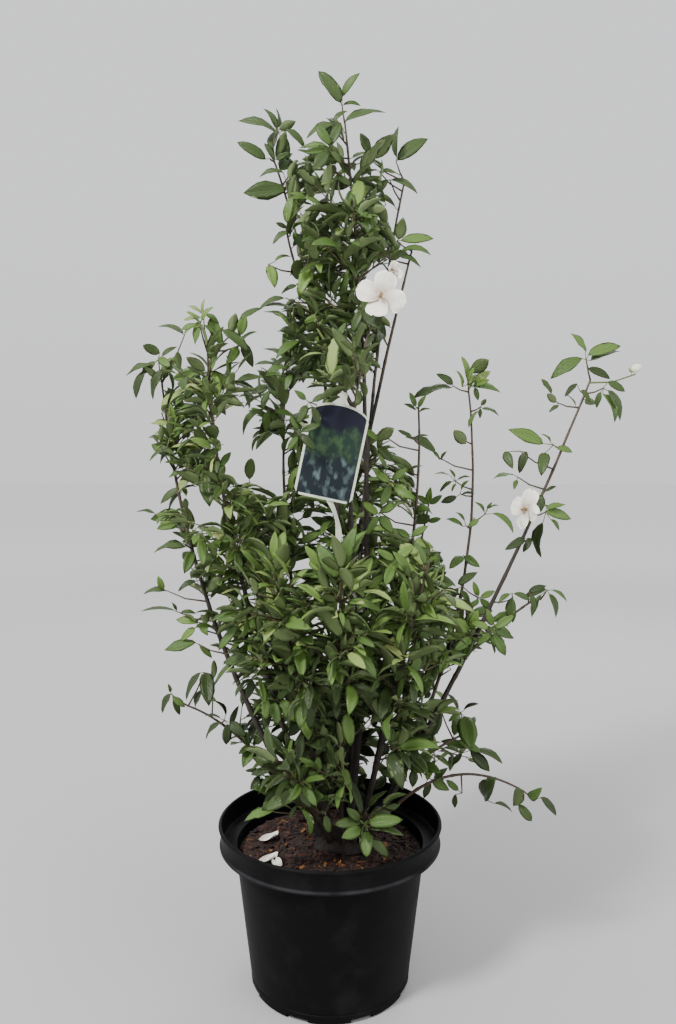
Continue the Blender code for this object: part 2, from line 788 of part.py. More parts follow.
def build_root_crown(curves, material):
    """A low flared foot, cut flat at the soil, with the stub of every cane fused to it."""
    profile = [(1.0, 0.0), (0.84, 0.30), (0.46, 0.94)]
    shell = turned_shell(profile, CROWN_SIDES)
    for vertex in shell.verts:
        angle = math.atan2(vertex.co.y, vertex.co.x)
        flare = 1 + CROWN_FLARE * math.cos(CROWN_LOBES * angle + 0.6) * (1 - vertex.co.z)
        vertex.co = Vector(
            (
                CROWN_CENTRE.x + vertex.co.x * flare * CROWN_WIDTH,
                CROWN_CENTRE.y + vertex.co.y * flare * CROWN_DEPTH,
                SOIL_TOP + GAP + vertex.co.z * CROWN_HEIGHT,
            )
        )
    crown = place_object("root_crown", mesh_of("root_crown", shell), material)
    stubs = []
    for name, shoot in SHOOTS.items():
        if not shoot.parent:
            stubs.append(limb_shell(shoot, curves[name], STUB_START, STUB_LENGTH, STUB_SIDES))
    fuse(crown, stubs)
    return crown


def card_shell(tilt):
    """The label's card, with an arched top, leaning in its own plane."""
    outline = [(-CARD_WIDTH / 2, -CARD_HEIGHT / 2), (CARD_WIDTH / 2, -CARD_HEIGHT / 2)]
    shoulder = CARD_HEIGHT / 2 - CARD_ARCH
    for step in range(ARCH_STEPS + 1):
        angle = math.pi * step / ARCH_STEPS
        outline.append((math.cos(angle) * CARD_WIDTH / 2, shoulder + math.sin(angle) * CARD_ARCH))
    shell = bmesh.new()
    front = [shell.verts.new((x, -CARD_THICKNESS / 2, z)) for x, z in outline]
    back = [shell.verts.new((x, CARD_THICKNESS / 2, z)) for x, z in outline]
    shell.faces.new(front)
    shell.faces.new(back)
    add_band(shell, front, back)
    bmesh.ops.rotate(shell, verts=shell.verts, cent=(0.0, 0.0, 0.0), matrix=tilt)
    bmesh.ops.translate(shell, verts=shell.verts, vec=CARD_CENTRE)
    return shell


def strap_shell(middle, along, hole):
    """The ring of the strap round a cane."""
    shell = bmesh.new()
    to_corners = 1 / math.cos(math.pi / STRAP_SIDES)
    outer, half = hole + STRAP_WALL, STRAP_WIDTH / 2
    loops = []
    for radius, height in ((hole, -half), (outer, -half), (outer, half), (hole, half)):
        loop = []
        for side in range(STRAP_SIDES):
            angle = math.tau * side / STRAP_SIDES
            outward = Vector((math.cos(angle), math.sin(angle), 0.0)) * radius * to_corners
            loop.append(shell.verts.new(outward + Vector((0.0, 0.0, height))))
        loops.append(loop)
    for lower, upper in zip(loops, loops[1:] + loops[:1]):
        add_band(shell, lower, upper)
    stand = Vector((0.0, 0.0, 1.0)).rotation_difference(along).to_matrix()
    bmesh.ops.rotate(shell, verts=shell.verts, cent=(0.0, 0.0, 0.0), matrix=stand)
    bmesh.ops.translate(shell, verts=shell.verts, vec=middle)
    return shell


def web_shell(middle, hole):
    """The short web between the strap's ring and the back of the card."""
    depth = middle.y - hole - STRAP_WALL / 2 - CARD_CENTRE.y
    shell = bmesh.new()
    bmesh.ops.create_cube(shell, size=1.0)
    bmesh.ops.scale(shell, verts=shell.verts, vec=(WEB_WIDTH, depth, STRAP_WIDTH * 0.7))
    bmesh.ops.translate(shell, verts=shell.verts, vec=(middle.x, CARD_CENTRE.y + depth / 2, middle.z))
    return shell


def tail_shell(tilt):
    """The loose end of the strap, which hangs from the foot of the card and curls forwards."""
    root = CARD_CENTRE + tilt @ TAIL_ROOT
    shell = bmesh.new()
    loops = []
    for step in range(TAIL_STEPS + 1):
        share = step / TAIL_STEPS
        spot = root + Vector((TAIL_DRIFT.x * share, TAIL_DRIFT.y * share**1.5, TAIL_DRIFT.z * share))
        loop = []
        for x, y in ((-1, -1), (1, -1), (1, 1), (-1, 1)):
            corner = Vector((x * STRAP_WIDTH / 2, y * CARD_THICKNESS / 2, 0.0))
            loop.append(shell.verts.new(spot + corner))
        loops.append(loop)
    for lower, upper in zip(loops, loops[1:]):
        add_band(shell, lower, upper)
    shell.faces.new(loops[0])
    shell.faces.new(loops[-1])
    return shell


def build_label(curve, shoot, material):
    """A card with its strap ring round a cane and its tail hanging below."""
    steps = 1000
    distances = [curve.length * step / steps for step in range(steps)]
    distance = next(reached for reached in distances if curve.at(reached)[0].z > STRAP_HEIGHT)
    middle, along = curve.at(distance)
    hole = limb_radius(shoot, distance / curve.length) + STRAP_ROOM
    tilt = Quaternion((0.0, 1.0, 0.0), CARD_TILT).to_matrix()
    card = place_object("plant_label", mesh_of("plant_label", card_shell(tilt)), material)
    fuse(card, [strap_shell(middle, along, hole), web_shell(middle, hole), tail_shell(tilt)])
    return card


def build():
    clear_scene()
    plastic = finish("black plastic", (0.012, 0.012, 0.013), 0.45)
    mulch = finish("bark mulch", (0.045, 0.020, 0.012), 0.95)
    bark = finish("cane bark", (0.060, 0.032, 0.026), 0.75)
    foliage = finish("foliage", (0.075, 0.145, 0.035), 0.55)
    card = finish("printed card", (0.06, 0.10, 0.16), 0.40)
    curves, starts = lay_out_canes()
    taken = Taken()
    pot = build_pot(plastic)
    soil = build_soil(mulch)
    crown = build_root_crown(curves, bark)
    label = build_label(curves["leader_front"], SHOOTS["leader_front"], card)
    for thing in (pot, soil, crown, label):
        taken.add_object(thing)
    for name, shoot in SHOOTS.items():
        curve = curves[name]
        end = curve.length * shoot.bare - GAP
        shell = limb_shell(shoot, curve, starts[name], end)
        bough = place_object(name + "_bough", mesh_of(name + "_bough", shell), bark)
        bough.data.shade_smooth()
        taken.add_object(bough)
    spaces = Spaces(curves)
    masses = [Mass(name, curves[name], taken, spaces) for name in SHOOTS]
    for mass in masses:
        mass.flower()
    for mass in masses:
        mass.grow()
        mass.join(foliage)


build()
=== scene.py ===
import json
import math
import random
from typing import NamedTuple

import bpy
import numpy as np
from mathutils import Matrix, Quaternion, Vector, noise
from mathutils.bvhtree import BVHTree

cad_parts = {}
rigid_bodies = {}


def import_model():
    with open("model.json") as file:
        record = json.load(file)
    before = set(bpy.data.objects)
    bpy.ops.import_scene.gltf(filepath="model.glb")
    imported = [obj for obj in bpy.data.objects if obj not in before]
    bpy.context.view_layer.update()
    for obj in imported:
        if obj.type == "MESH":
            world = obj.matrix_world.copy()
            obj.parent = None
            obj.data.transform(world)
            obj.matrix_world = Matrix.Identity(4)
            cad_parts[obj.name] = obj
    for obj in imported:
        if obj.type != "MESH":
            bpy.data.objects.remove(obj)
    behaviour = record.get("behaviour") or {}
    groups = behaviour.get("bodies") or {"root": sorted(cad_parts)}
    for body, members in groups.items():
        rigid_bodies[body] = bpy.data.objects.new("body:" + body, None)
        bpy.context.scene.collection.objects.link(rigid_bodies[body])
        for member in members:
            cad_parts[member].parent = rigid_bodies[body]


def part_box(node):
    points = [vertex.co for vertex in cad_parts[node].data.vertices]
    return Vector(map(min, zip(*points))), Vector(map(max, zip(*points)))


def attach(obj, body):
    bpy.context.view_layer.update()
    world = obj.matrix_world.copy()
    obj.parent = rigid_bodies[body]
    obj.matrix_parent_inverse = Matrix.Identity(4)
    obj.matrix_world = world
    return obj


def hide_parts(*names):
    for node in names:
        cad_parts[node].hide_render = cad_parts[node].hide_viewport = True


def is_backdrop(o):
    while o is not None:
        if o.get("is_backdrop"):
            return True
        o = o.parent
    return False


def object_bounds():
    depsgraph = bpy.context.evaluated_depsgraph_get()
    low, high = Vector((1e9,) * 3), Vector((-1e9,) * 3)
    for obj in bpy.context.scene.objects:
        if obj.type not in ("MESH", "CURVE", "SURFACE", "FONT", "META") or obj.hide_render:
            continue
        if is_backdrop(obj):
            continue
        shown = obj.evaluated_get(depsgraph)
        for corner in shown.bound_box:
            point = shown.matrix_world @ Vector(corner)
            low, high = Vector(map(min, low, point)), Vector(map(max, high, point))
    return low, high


# A mock orange in flower, a shrub of many slender canes, in its black nursery pot
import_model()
cad_low, cad_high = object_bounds()
bpy.ops.object.select_all(action="DESELECT")


# The nursery pot
# Injection-moulded black polypropylene. A deep rim band stands proud of the tapering body on a
# ledge, with a rounded bead along its lower edge, and notches round the foot let water out.
pot_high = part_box("nursery_pot")[1]
POT_HEIGHT = pot_high.z
RIM_RADIUS = pot_high.x
BAND_HEIGHT = 0.026
LEDGE = POT_HEIGHT - BAND_HEIGHT
BAND_FOOT_RADIUS = RIM_RADIUS - 0.0030
BODY_TOP_RADIUS = 0.1060
FOOT_RADIUS = 0.0885
WALL = 0.0020
FLOOR = 0.0070
POT_STEPS = 160
MERGE_APART = 0.00001
NOTCHES = 8
NOTCH_SIZE = (0.012, 0.024, 0.009)
POT_BLACK = "#0d0d0e"
POT_WORN = "#1a1a1a"
# A painted highlight: the pale grey line along the crest of the bead.
POT_BEAD_HIGHLIGHT = "#2b2b2d"
BEAD_MIDDLE = LEDGE + 0.0034
BEAD_REACH, BEAD_CORE = 0.0019, 0.0007


def linear(hex_colour):
    """An sRGB hex colour as the linear colour that a shader takes."""
    channels = [int(hex_colour[start:start + 2], 16) / 255 for start in (1, 3, 5)]
    return (*(c / 12.92 if c <= 0.04045 else ((c + 0.055) / 1.055) ** 2.4 for c in channels), 1.0)


def add_node(tree, kind, settings=None):
    """Adds a node. A setting is for a property or a socket, and is a value or another node's output."""
    node = tree.nodes.new(kind)
    for name, value in (settings or {}).items():
        if isinstance(value, bpy.types.NodeSocket):
            tree.links.new(value, node.inputs[name])
        elif isinstance(name, str) and hasattr(node, name):
            setattr(node, name, value)
        else:
            node.inputs[name].default_value = value
    return node


def object_place(tree):
    return add_node(tree, "ShaderNodeTexCoord").outputs["Object"]


def grown_place(tree):
    return add_node(tree, "ShaderNodeUVMap", {"uv_map": "growth"}).outputs["UV"]


def part_of(tree, place, axis):
    return add_node(tree, "ShaderNodeSeparateXYZ", {"Vector": place}).outputs[axis]


def noise_at(tree, place, scale, detail):
    settings = {"Vector": place, "Scale": scale, "Detail": detail}
    return add_node(tree, "ShaderNodeTexNoise", settings).outputs["Fac"]


def in_range(tree, value, low, high, to_low=0.0, to_high=1.0):
    """How far a value is from low to high, as a number from to_low to to_high."""
    settings = {"Value": value, "From Min": low, "From Max": high, "To Min": to_low, "To Max": to_high}
    return add_node(tree, "ShaderNodeMapRange", settings).outputs["Result"]


def reckon(tree, operation, *values):
    """A sum on values, each a number or another node's output."""
    return add_node(tree, "ShaderNodeMath", {"operation": operation, **dict(enumerate(values))}).outputs[0]


def blend(tree, share, first, second):
    """Two colours mixed, each a hex colour or another node's output."""
    first, second = (linear(colour) if isinstance(colour, str) else colour for colour in (first, second))
    settings = {"data_type": "RGBA", 0: share, 6: first, 7: second}
    return add_node(tree, "ShaderNodeMix", settings).outputs[2]


def new_material(name, roughness, ior=1.5):
    """A material, its node tree and its shader."""
    material = bpy.data.materials.new(name)
    material.use_nodes = True
    shader = material.node_tree.nodes["Principled BSDF"]
    shader.inputs["Roughness"].default_value = roughness
    shader.inputs["IOR"].default_value = ior
    return material, material.node_tree, shader


def add_bump(tree, shader, height, distance):
    bump = add_node(tree, "ShaderNodeBump", {"Height": height, "Distance": distance})
    tree.links.new(bump.outputs["Normal"], shader.inputs["Normal"])


def two_tone(made, place, colours, grain, spread, relief):
    """Gives a new material two colours mixed by a noise, which also lifts its surface."""
    material, tree, shader = made
    specks = noise_at(tree, place, *grain)
    tree.links.new(blend(tree, in_range(tree, specks, *spread), *colours), shader.inputs["Base Color"])
    if relief:
        add_bump(tree, shader, specks, relief)
    return material


def moulded_polypropylene():
    """Black PP from a steel mould: low satin, finely pebbled, greyer where rubbed, with a painted highlight
    line along the bead's crest, broken up by the wear.
    """
    material, tree, shader = new_material("moulded polypropylene", 0.5, 1.49)
    shader.inputs["Specular IOR Level"].default_value = 0.05
    place = object_place(tree)
    wear = noise_at(tree, place, 30.0, 7.0)
    share = in_range(tree, wear, 0.50, 0.78)
    # Painted highlight: a thin band round the bead's middle height, paler where the wear noise is high.
    apart = reckon(tree, "ABSOLUTE", reckon(tree, "SUBTRACT", part_of(tree, place, "Z"), BEAD_MIDDLE))
    on_bead = in_range(tree, apart, BEAD_REACH, BEAD_CORE)
    painted_highlight = reckon(tree, "MULTIPLY", on_bead, in_range(tree, wear, 0.30, 0.62))
    colour = blend(tree, painted_highlight, blend(tree, share, POT_BLACK, POT_WORN), POT_BEAD_HIGHLIGHT)
    tree.links.new(colour, shader.inputs["Base Color"])
    tree.links.new(in_range(tree, share, 0.0, 1.0, 0.50, 0.68), shader.inputs["Roughness"])
    add_bump(tree, shader, noise_at(tree, place, 620.0, 3.0), 0.00012)
    return material


def turn_profile(name, profile, steps):
    """Turns a line of (radius, height) points round the pot's axis into one skin."""
    bpy.ops.object.select_all(action="DESELECT")
    bpy.ops.mesh.primitive_plane_add(size=0.01)
    piece = bpy.context.object
    piece.name = name
    bpy.ops.object.mode_set(mode="EDIT")
    bpy.ops.mesh.merge(type="CENTER")
    bpy.ops.transform.translate(value=(profile[0][0], 0.0, profile[0][1]))
    for (radius, height), (next_radius, next_height) in zip(profile, profile[1:]):
        step = (next_radius - radius, 0.0, next_height - height)
        bpy.ops.mesh.extrude_region_move(TRANSFORM_OT_translate={"value": step})
    bpy.ops.mesh.select_all(action="SELECT")
    bpy.ops.mesh.spin(steps=steps, angle=math.tau, center=(0.0, 0.0, 0.0), axis=(0.0, 0.0, 1.0))
    bpy.ops.mesh.select_all(action="SELECT")
    bpy.ops.mesh.remove_doubles(threshold=MERGE_APART)
    bpy.ops.mesh.normals_make_consistent(inside=False)
    bpy.ops.object.mode_set(mode="OBJECT")
    return piece


def select_only(piece):
    bpy.ops.object.select_all(action="DESELECT")
    piece.select_set(True)
    bpy.context.view_layer.objects.active = piece


def apply_modifier(piece, kind, **settings):
    """Adds one modifier to a piece and works it into the mesh."""
    modifier = piece.modifiers.new("Shaping", kind)
    for name, value in settings.items():
        setattr(modifier, name, value)
    bpy.context.view_layer.objects.active = piece
    bpy.ops.object.modifier_apply(modifier=modifier.name)


def finish_piece(piece, materials, replaced=()):
    """Gives a finished piece its materials and fixes it to the plant's body."""
    piece.data.materials.clear()
    for material in materials:
        piece.data.materials.append(material)
    if replaced:
        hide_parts(*replaced)
    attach(piece, "root")


def rounded(middle, radius, start, end, steps=5):
    """Points on an arc in the profile's plane, from one angle in degrees to another."""
    points = []
    for step in range(steps + 1):
        angle = math.radians(start + (end - start) * step / steps)
        points.append((middle[0] + math.cos(angle) * radius, middle[1] + math.sin(angle) * radius))
    return points


pot_profile = [
    (0.0, 0.0016),
    (FOOT_RADIUS - 0.016, 0.0016),
    (FOOT_RADIUS - 0.014, 0.0),
    (FOOT_RADIUS - 0.003, 0.0),
    *rounded((FOOT_RADIUS - 0.0030, 0.0030), 0.0030, -75, 0, 4),
    (FOOT_RADIUS + 0.0004, 0.0095),
    (FOOT_RADIUS - 0.0003, 0.0104),
    (FOOT_RADIUS + 0.0006, 0.0115),
    (BODY_TOP_RADIUS - 0.0001, LEDGE - 0.0012),
    (BODY_TOP_RADIUS + 0.0012, LEDGE),
    (BAND_FOOT_RADIUS - 0.0004, LEDGE),
    *rounded((BAND_FOOT_RADIUS - 0.0004, LEDGE + 0.0022), 0.0022, -70, 70, 6),
    (BAND_FOOT_RADIUS - 0.0002, LEDGE + 0.0056),
    (RIM_RADIUS - 0.0016, POT_HEIGHT - 0.0052),
    *rounded((RIM_RADIUS - 0.0018, POT_HEIGHT - 0.0024), 0.0018, -50, 60, 5),
    (RIM_RADIUS - 0.0018, POT_HEIGHT),
    (RIM_RADIUS - 0.0034, POT_HEIGHT - 0.0006),
    (RIM_RADIUS - 0.0040, POT_HEIGHT - 0.0040),
    (BAND_FOOT_RADIUS - WALL, LEDGE + WALL + 0.0010),
    (BAND_FOOT_RADIUS - WALL - 0.0010, LEDGE + WALL),
    (BODY_TOP_RADIUS - WALL, LEDGE + WALL),
    (FOOT_RADIUS - WALL, FLOOR),
    (0.0, FLOOR),
]
pot = turn_profile("moulded_pot", pot_profile, POT_STEPS)
for notch in range(NOTCHES):
    turn = math.tau * (notch + 0.5) / NOTCHES
    spot = (FOOT_RADIUS * math.cos(turn), FOOT_RADIUS * math.sin(turn), 0.0)
    bpy.ops.mesh.primitive_cube_add(size=1.0, location=spot, rotation=(0.0, 0.0, turn))
    cutter = bpy.context.object
    cutter.scale = NOTCH_SIZE
    apply_modifier(pot, "BOOLEAN", operation="DIFFERENCE", object=cutter)
    bpy.data.objects.remove(cutter)
select_only(pot)
bpy.ops.object.shade_smooth_by_angle(angle=math.radians(32))
finish_piece(pot, [moulded_polypropylene()], ["nursery_pot"])


# The soil
# Moist potting mix under a dressing of shredded reddish bark. It fills the pot to a little below
# the ledge, lies lower along the wall and mounds up to the root crown.
SOIL_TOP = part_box("soil")[1].z
SOIL_MOUND = 0.004
SOIL_RELIEF = 0.0028
SOIL_LUMP = 0.020
SOIL_FADE = 0.06
SOIL_RINGS = 26
SOIL_STEPS = 144
SOIL_ROOM = 0.0006
SOIL_DARK = "#190f0b"
SOIL_BROWN = "#3a2218"


def wall_radius(height):
    """The inner radius of the pot's body at this height."""
    share = (height - FLOOR) / (LEDGE + WALL - FLOOR)
    return FOOT_RADIUS - WALL + (BODY_TOP_RADIUS - FOOT_RADIUS) * share


def ground(x, y):
    """The height of the soil's surface."""
    out = math.hypot(x, y) / wall_radius(SOIL_TOP)
    lumps = noise.fractal(Vector((x, y, 0.0)) / SOIL_LUMP, 0.8, 2.1, 4)
    fade = min(1.0, max(0.0, (1.0 - out) / SOIL_FADE))
    return SOIL_TOP - SOIL_MOUND * out * out - SOIL_RELIEF * 0.6 + lumps * SOIL_RELIEF * fade


def potting_mix():
    """Peat and composted bark: dull, crumbly and almost black where it's wet."""
    made = new_material("potting mix", 0.94)
    colours = (SOIL_DARK, SOIL_BROWN)
    return two_tone(made, object_place(made[1]), colours, (290.0, 8.0), (0.42, 0.66), 0.0016)


soil_edge = SOIL_TOP - SOIL_MOUND
soil_reach = wall_radius(soil_edge) - SOIL_ROOM
soil_profile = [(0.0, FLOOR + 0.0003), (wall_radius(FLOOR) - SOIL_ROOM, FLOOR + 0.0003)]
for ring in range(SOIL_RINGS + 1):
    share = 1 - ring / SOIL_RINGS
    soil_profile.append((soil_reach * share, SOIL_TOP - SOIL_MOUND * share * share))
soil = turn_profile("potting_mix", soil_profile, SOIL_STEPS)
for vertex in soil.data.vertices:
    if vertex.co.z > soil_edge - 0.001:
        vertex.co.z = ground(vertex.co.x, vertex.co.y)
soil.data.shade_smooth()
finish_piece(soil, [potting_mix()], ["soil"])


# The bark mulch
# Shreds and chips of bark lie flat in a loose layer on the mix, reddish brown to orange where the
# wood is fresh, with crumbs of peat among them. Each is a small split block.
CHIPS = 1150
CRUMBS = 900
CHIP_COLOURS = ["#22130e", "#3c1f16", "#5a2f1d", "#8c5228", "#4c3628", "#a87238"]
CHIP_ODDS = [26, 26, 20, 7, 12, 4]
CHIP_LENGTHS = (0.003, 0.013)
CRUMB_LENGTHS = (0.0012, 0.0030)
BLOCK_CORNERS = np.array([(x, y, z) for x in (-1, 1) for y in (-1, 1) for z in (-1, 1)]) / 2
BLOCK_FACES = [(0, 1, 3, 2), (4, 6, 7, 5), (0, 4, 5, 1), (2, 3, 7, 6), (0, 2, 6, 4), (1, 5, 7, 3)]


class JoinedMesh:
    """Gathers many small shells into one mesh, each face with its material slot and its UVs."""

    def __init__(self):
        self.points, self.faces, self.slots, self.uvs = [], [], [], []
        self.count = 0

    def add(self, points, faces, slots, uvs=None):
        """slots is one slot for all the faces or a list; uvs holds a place for each point."""
        self.points.append(np.asarray(points, float))
        self.faces.extend([tuple(corner + self.count for corner in face) for face in faces])
        self.slots.extend(slots if isinstance(slots, list) else [slots] * len(faces))
        self.uvs.append(np.zeros((len(points), 2)) if uvs is None else np.asarray(uvs, float))
        self.count += len(points)

    def build(self, name, smooth, materials, slot, replaced=()):
        """Makes the piece and finishes it."""
        mesh = bpy.data.meshes.new(name)
        mesh.from_pydata(np.concatenate(self.points).tolist(), [], self.faces)
        piece = bpy.data.objects.new(name, mesh)
        bpy.context.scene.collection.objects.link(piece)
        corners = np.zeros(len(mesh.loops), np.int32)
        mesh.loops.foreach_get("vertex_index", corners)
        layer = mesh.uv_layers.new(name="growth")
        layer.data.foreach_set("uv", np.concatenate(self.uvs)[corners].ravel())
        mesh.polygons.foreach_set("use_smooth", [smooth] * len(self.faces))
        finish_piece(piece, materials, replaced)
        mesh.polygons.foreach_set("material_index", np.array(self.slots, np.int32))
        mesh.update()
        return piece


def bark_chip(number, colour):
    """Shredded bark: dull and fibrous, streaked along the grain with darker lines."""
    made = new_material(f"bark chip {number}", 0.88)
    return two_tone(made, object_place(made[1]), (SOIL_DARK, colour), (830.0, 5.0), (0.35, 0.68), 0.0006)


chance = random.Random("mulch")
mulch = JoinedMesh()
for number in range(CHIPS + CRUMBS):
    out = math.sqrt(chance.random()) * (wall_radius(soil_edge) - 0.005)
    angle = chance.uniform(0.0, math.tau)
    spot = Vector((out * math.cos(angle), out * math.sin(angle), 0.0))
    is_chip = number < CHIPS
    length = chance.uniform(*(CHIP_LENGTHS if is_chip else CRUMB_LENGTHS))
    width = length * (chance.uniform(0.22, 0.5) if is_chip else 0.8)
    depth = min(width * 0.6, chance.uniform(0.0008, 0.0022)) if is_chip else length * 0.7
    lean = 0.35 if is_chip else 1.5
    turn = Matrix.Rotation(chance.uniform(0.0, math.tau), 3, "Z")
    turn = turn @ Matrix.Rotation(chance.gauss(0.0, lean), 3, "X")
    turn = turn @ Matrix.Rotation(chance.gauss(0.0, lean), 3, "Y")
    spot.z = ground(spot.x, spot.y) + depth * chance.uniform(0.0, 0.6)
    jitter = np.array([[chance.uniform(0.62, 1.0) for _ in range(3)] for _ in range(8)])
    block = BLOCK_CORNERS * jitter * (length, width, depth)
    colour = chance.choices(range(len(CHIP_COLOURS)), CHIP_ODDS)[0] if is_chip else chance.choice((0, 0, 1))
    mulch.add(block @ np.array(turn).T + np.array(spot), BLOCK_FACES, colour)
bark_finishes = [bark_chip(number, colour) for number, colour in enumerate(CHIP_COLOURS)]
mulch.build("bark_mulch", False, bark_finishes, "mulch")


# The canes
# Each cane springs from the root crown and runs in one smooth curve to its tip, thinning all the
# way. The lines below are the ones the solids are built on, and side boughs branch from a cane.
class Shoot(NamedTuple):
    """A curve from its foot through a middle to a tip, and how it carries leaves."""

    middle: tuple
    tip: tuple
    radius: float
    bare: float
    reach: float
    parent: str = ""
    leaves_at: float = 0.0


SHOOTS = {
    "leader": Shoot((0.040, -0.008, 0.540), (0.016, -0.020, 0.934), 0.0042, 0.66, 0.074),
    "leader_left": Shoot((0.002, 0.018, 0.600), (-0.066, 0.030, 0.924), 0.0036, 0.70, 0.062),
    "leader_right": Shoot((0.044, 0.038, 0.600), (0.083, 0.030, 0.892), 0.0036, 0.70, 0.062),
    "left_outer": Shoot((-0.128, 0.000, 0.400), (-0.186, 0.010, 0.666), 0.0036, 0.46, 0.062),
    "left_inner": Shoot((-0.098, -0.018, 0.460), (-0.129, -0.030, 0.694), 0.0034, 0.52, 0.066),
    "left_mid": Shoot((-0.048, 0.046, 0.465), (-0.050, 0.060, 0.695), 0.0032, 0.56, 0.072),
    "centre_right": Shoot((0.086, 0.008, 0.440), (0.098, 0.010, 0.640), 0.0032, 0.48, 0.062),
    "right_thin": Shoot((0.146, 0.040, 0.400), (0.160, 0.050, 0.660), 0.0026, 0.70, 0.042),
    "right_outer": Shoot((0.176, 0.000, 0.415), (0.285, 0.000, 0.668), 0.0036, 0.66, 0.062),
    "front_left": Shoot((-0.030, -0.060, 0.330), (-0.056, -0.086, 0.474), 0.0028, 0.24, 0.072),
    "front_centre": Shoot((0.010, -0.072, 0.330), (0.012, -0.112, 0.470), 0.0028, 0.24, 0.072),
    "front_right": Shoot((0.066, -0.062, 0.330), (0.100, -0.086, 0.480), 0.0028, 0.24, 0.072),
    "back_left": Shoot((-0.050, 0.052, 0.340), (-0.092, 0.080, 0.520), 0.0028, 0.30, 0.074),
    "back_centre": Shoot((0.024, 0.064, 0.360), (0.030, 0.084, 0.600), 0.0030, 0.30, 0.078),
    "back_right": Shoot((0.078, 0.050, 0.340), (0.118, 0.080, 0.530), 0.0028, 0.30, 0.074),
    "low_left": Shoot((-0.090, 0.016, 0.252), (-0.160, 0.008, 0.304), 0.0024, 0.55, 0.056),
    "low_right": Shoot((0.122, -0.010, 0.228), (0.212, -0.020, 0.218), 0.0022, 0.42, 0.052),
    "low_back": Shoot((0.010, 0.072, 0.240), (0.010, 0.112, 0.300), 0.0024, 0.30, 0.066),
    "rim_shoot": Shoot((0.036, -0.050, 0.200), (0.044, -0.086, 0.208), 0.0018, 0.48, 0.056),
    "low_front": Shoot((-0.026, -0.052, 0.226), (-0.054, -0.088, 0.276), 0.0022, 0.30, 0.062),
    "leader_low_left": Shoot(
        (-0.020, -0.004, 0.740), (-0.046, -0.020, 0.826), 0.0022, 0.20, 0.064, "leader", 0.58
    ),
    "leader_low_right": Shoot(
        (0.070, -0.002, 0.730), (0.088, -0.012, 0.804), 0.0022, 0.20, 0.060, "leader_right", 0.62
    ),
    "leader_front": Shoot(
        (0.022, -0.060, 0.560), (0.040, -0.066, 0.710), 0.0026, 0.74, 0.060, "leader", 0.30
    ),
    "right_side": Shoot(
        (0.218, 0.020, 0.414), (0.240, 0.022, 0.422), 0.0020, 0.40, 0.046, "right_outer", 0.42
    ),
    "mid_left": Shoot(
        (-0.080, 0.024, 0.370), (-0.104, 0.020, 0.450), 0.0022, 0.30, 0.064, "left_inner", 0.28
    ),
    "mid_right": Shoot(
        (0.132, 0.026, 0.350), (0.168, 0.020, 0.425), 0.0022, 0.30, 0.064, "right_outer", 0.22
    ),
    "right_low": Shoot(
        (0.128, 0.012, 0.258), (0.160, 0.024, 0.270), 0.0020, 0.30, 0.060, "right_outer", 0.16
    ),
}
CROWN_CENTRE = Vector((0.016, 0.000, SOIL_TOP))
CROWN_WIDTH = 0.036
CROWN_DEPTH = 0.030
CROWN_HEIGHT = 0.020
CROWN_LOBES = 5
LOBE_DEPTH = 0.08
KNOB_SIZE = 0.007
KNOB_HEIGHT = 0.0016
ROOT_FLARE = 0.0055
FURTHEST_FOOT = 0.68
FOOT_SPREAD = 2.0
FOOT_HEIGHT = 0.004
TIP_RADIUS = 0.0011
CANE_STEP = 0.0032
CANE_SEED = 5
CANE_SIDES = 12
CANE_NODE = 0.042
NODE_SPREAD = 0.0028
CANE_WANDER = 0.0006
WANDER_LENGTH = 0.045
OLD_WIDTH, BROWN_WIDTH = 0.0030, 0.0019
OLD_BARK = ("#120e0b", "#2e251f")
BROWN_BARK = ("#17120e", "#352a20")
YOUNG_BARK = ("#2b2118", "#55432e")


class Curve:
    """The line down the middle of a cane, read by the distance along it."""

    SAMPLES = 60

    def __init__(self, foot, middle, tip):
        self.points = []
        for index in range(self.SAMPLES + 1):
            t = index / self.SAMPLES
            weights = ((1 - t) * (1 - 2 * t), 4 * t * (1 - t), t * (2 * t - 1))
            self.points.append(foot * weights[0] + middle * weights[1] + tip * weights[2])
        self.reached = [0.0]
        for here, there in zip(self.points, self.points[1:]):
            self.reached.append(self.reached[-1] + (there - here).length)
        self.length = self.reached[-1]

    def at(self, distance):
        """The point at this distance, and the direction there."""
        index = int(np.searchsorted(self.reached, distance))
        index = min(max(1, index), self.SAMPLES)
        here, there = self.points[index - 1], self.points[index]
        share = (distance - self.reached[index - 1]) / (self.reached[index] - self.reached[index - 1])
        return here.lerp(there, share), (there - here).normalized()


def foot_on_crown(shoot):
    """Canes that lean further spring from nearer the edge of the root crown."""
    lean = Vector(shoot.middle) - CROWN_CENTRE
    flat = Vector((lean.x, lean.y, 0.0))
    outward = flat.normalized() * min(FURTHEST_FOOT, FOOT_SPREAD * flat.length / lean.length)
    return CROWN_CENTRE + Vector((outward.x * CROWN_WIDTH, outward.y * CROWN_DEPTH, FOOT_HEIGHT))


def limb_radius(shoot, share):
    return shoot.radius + (TIP_RADIUS - shoot.radius) * share


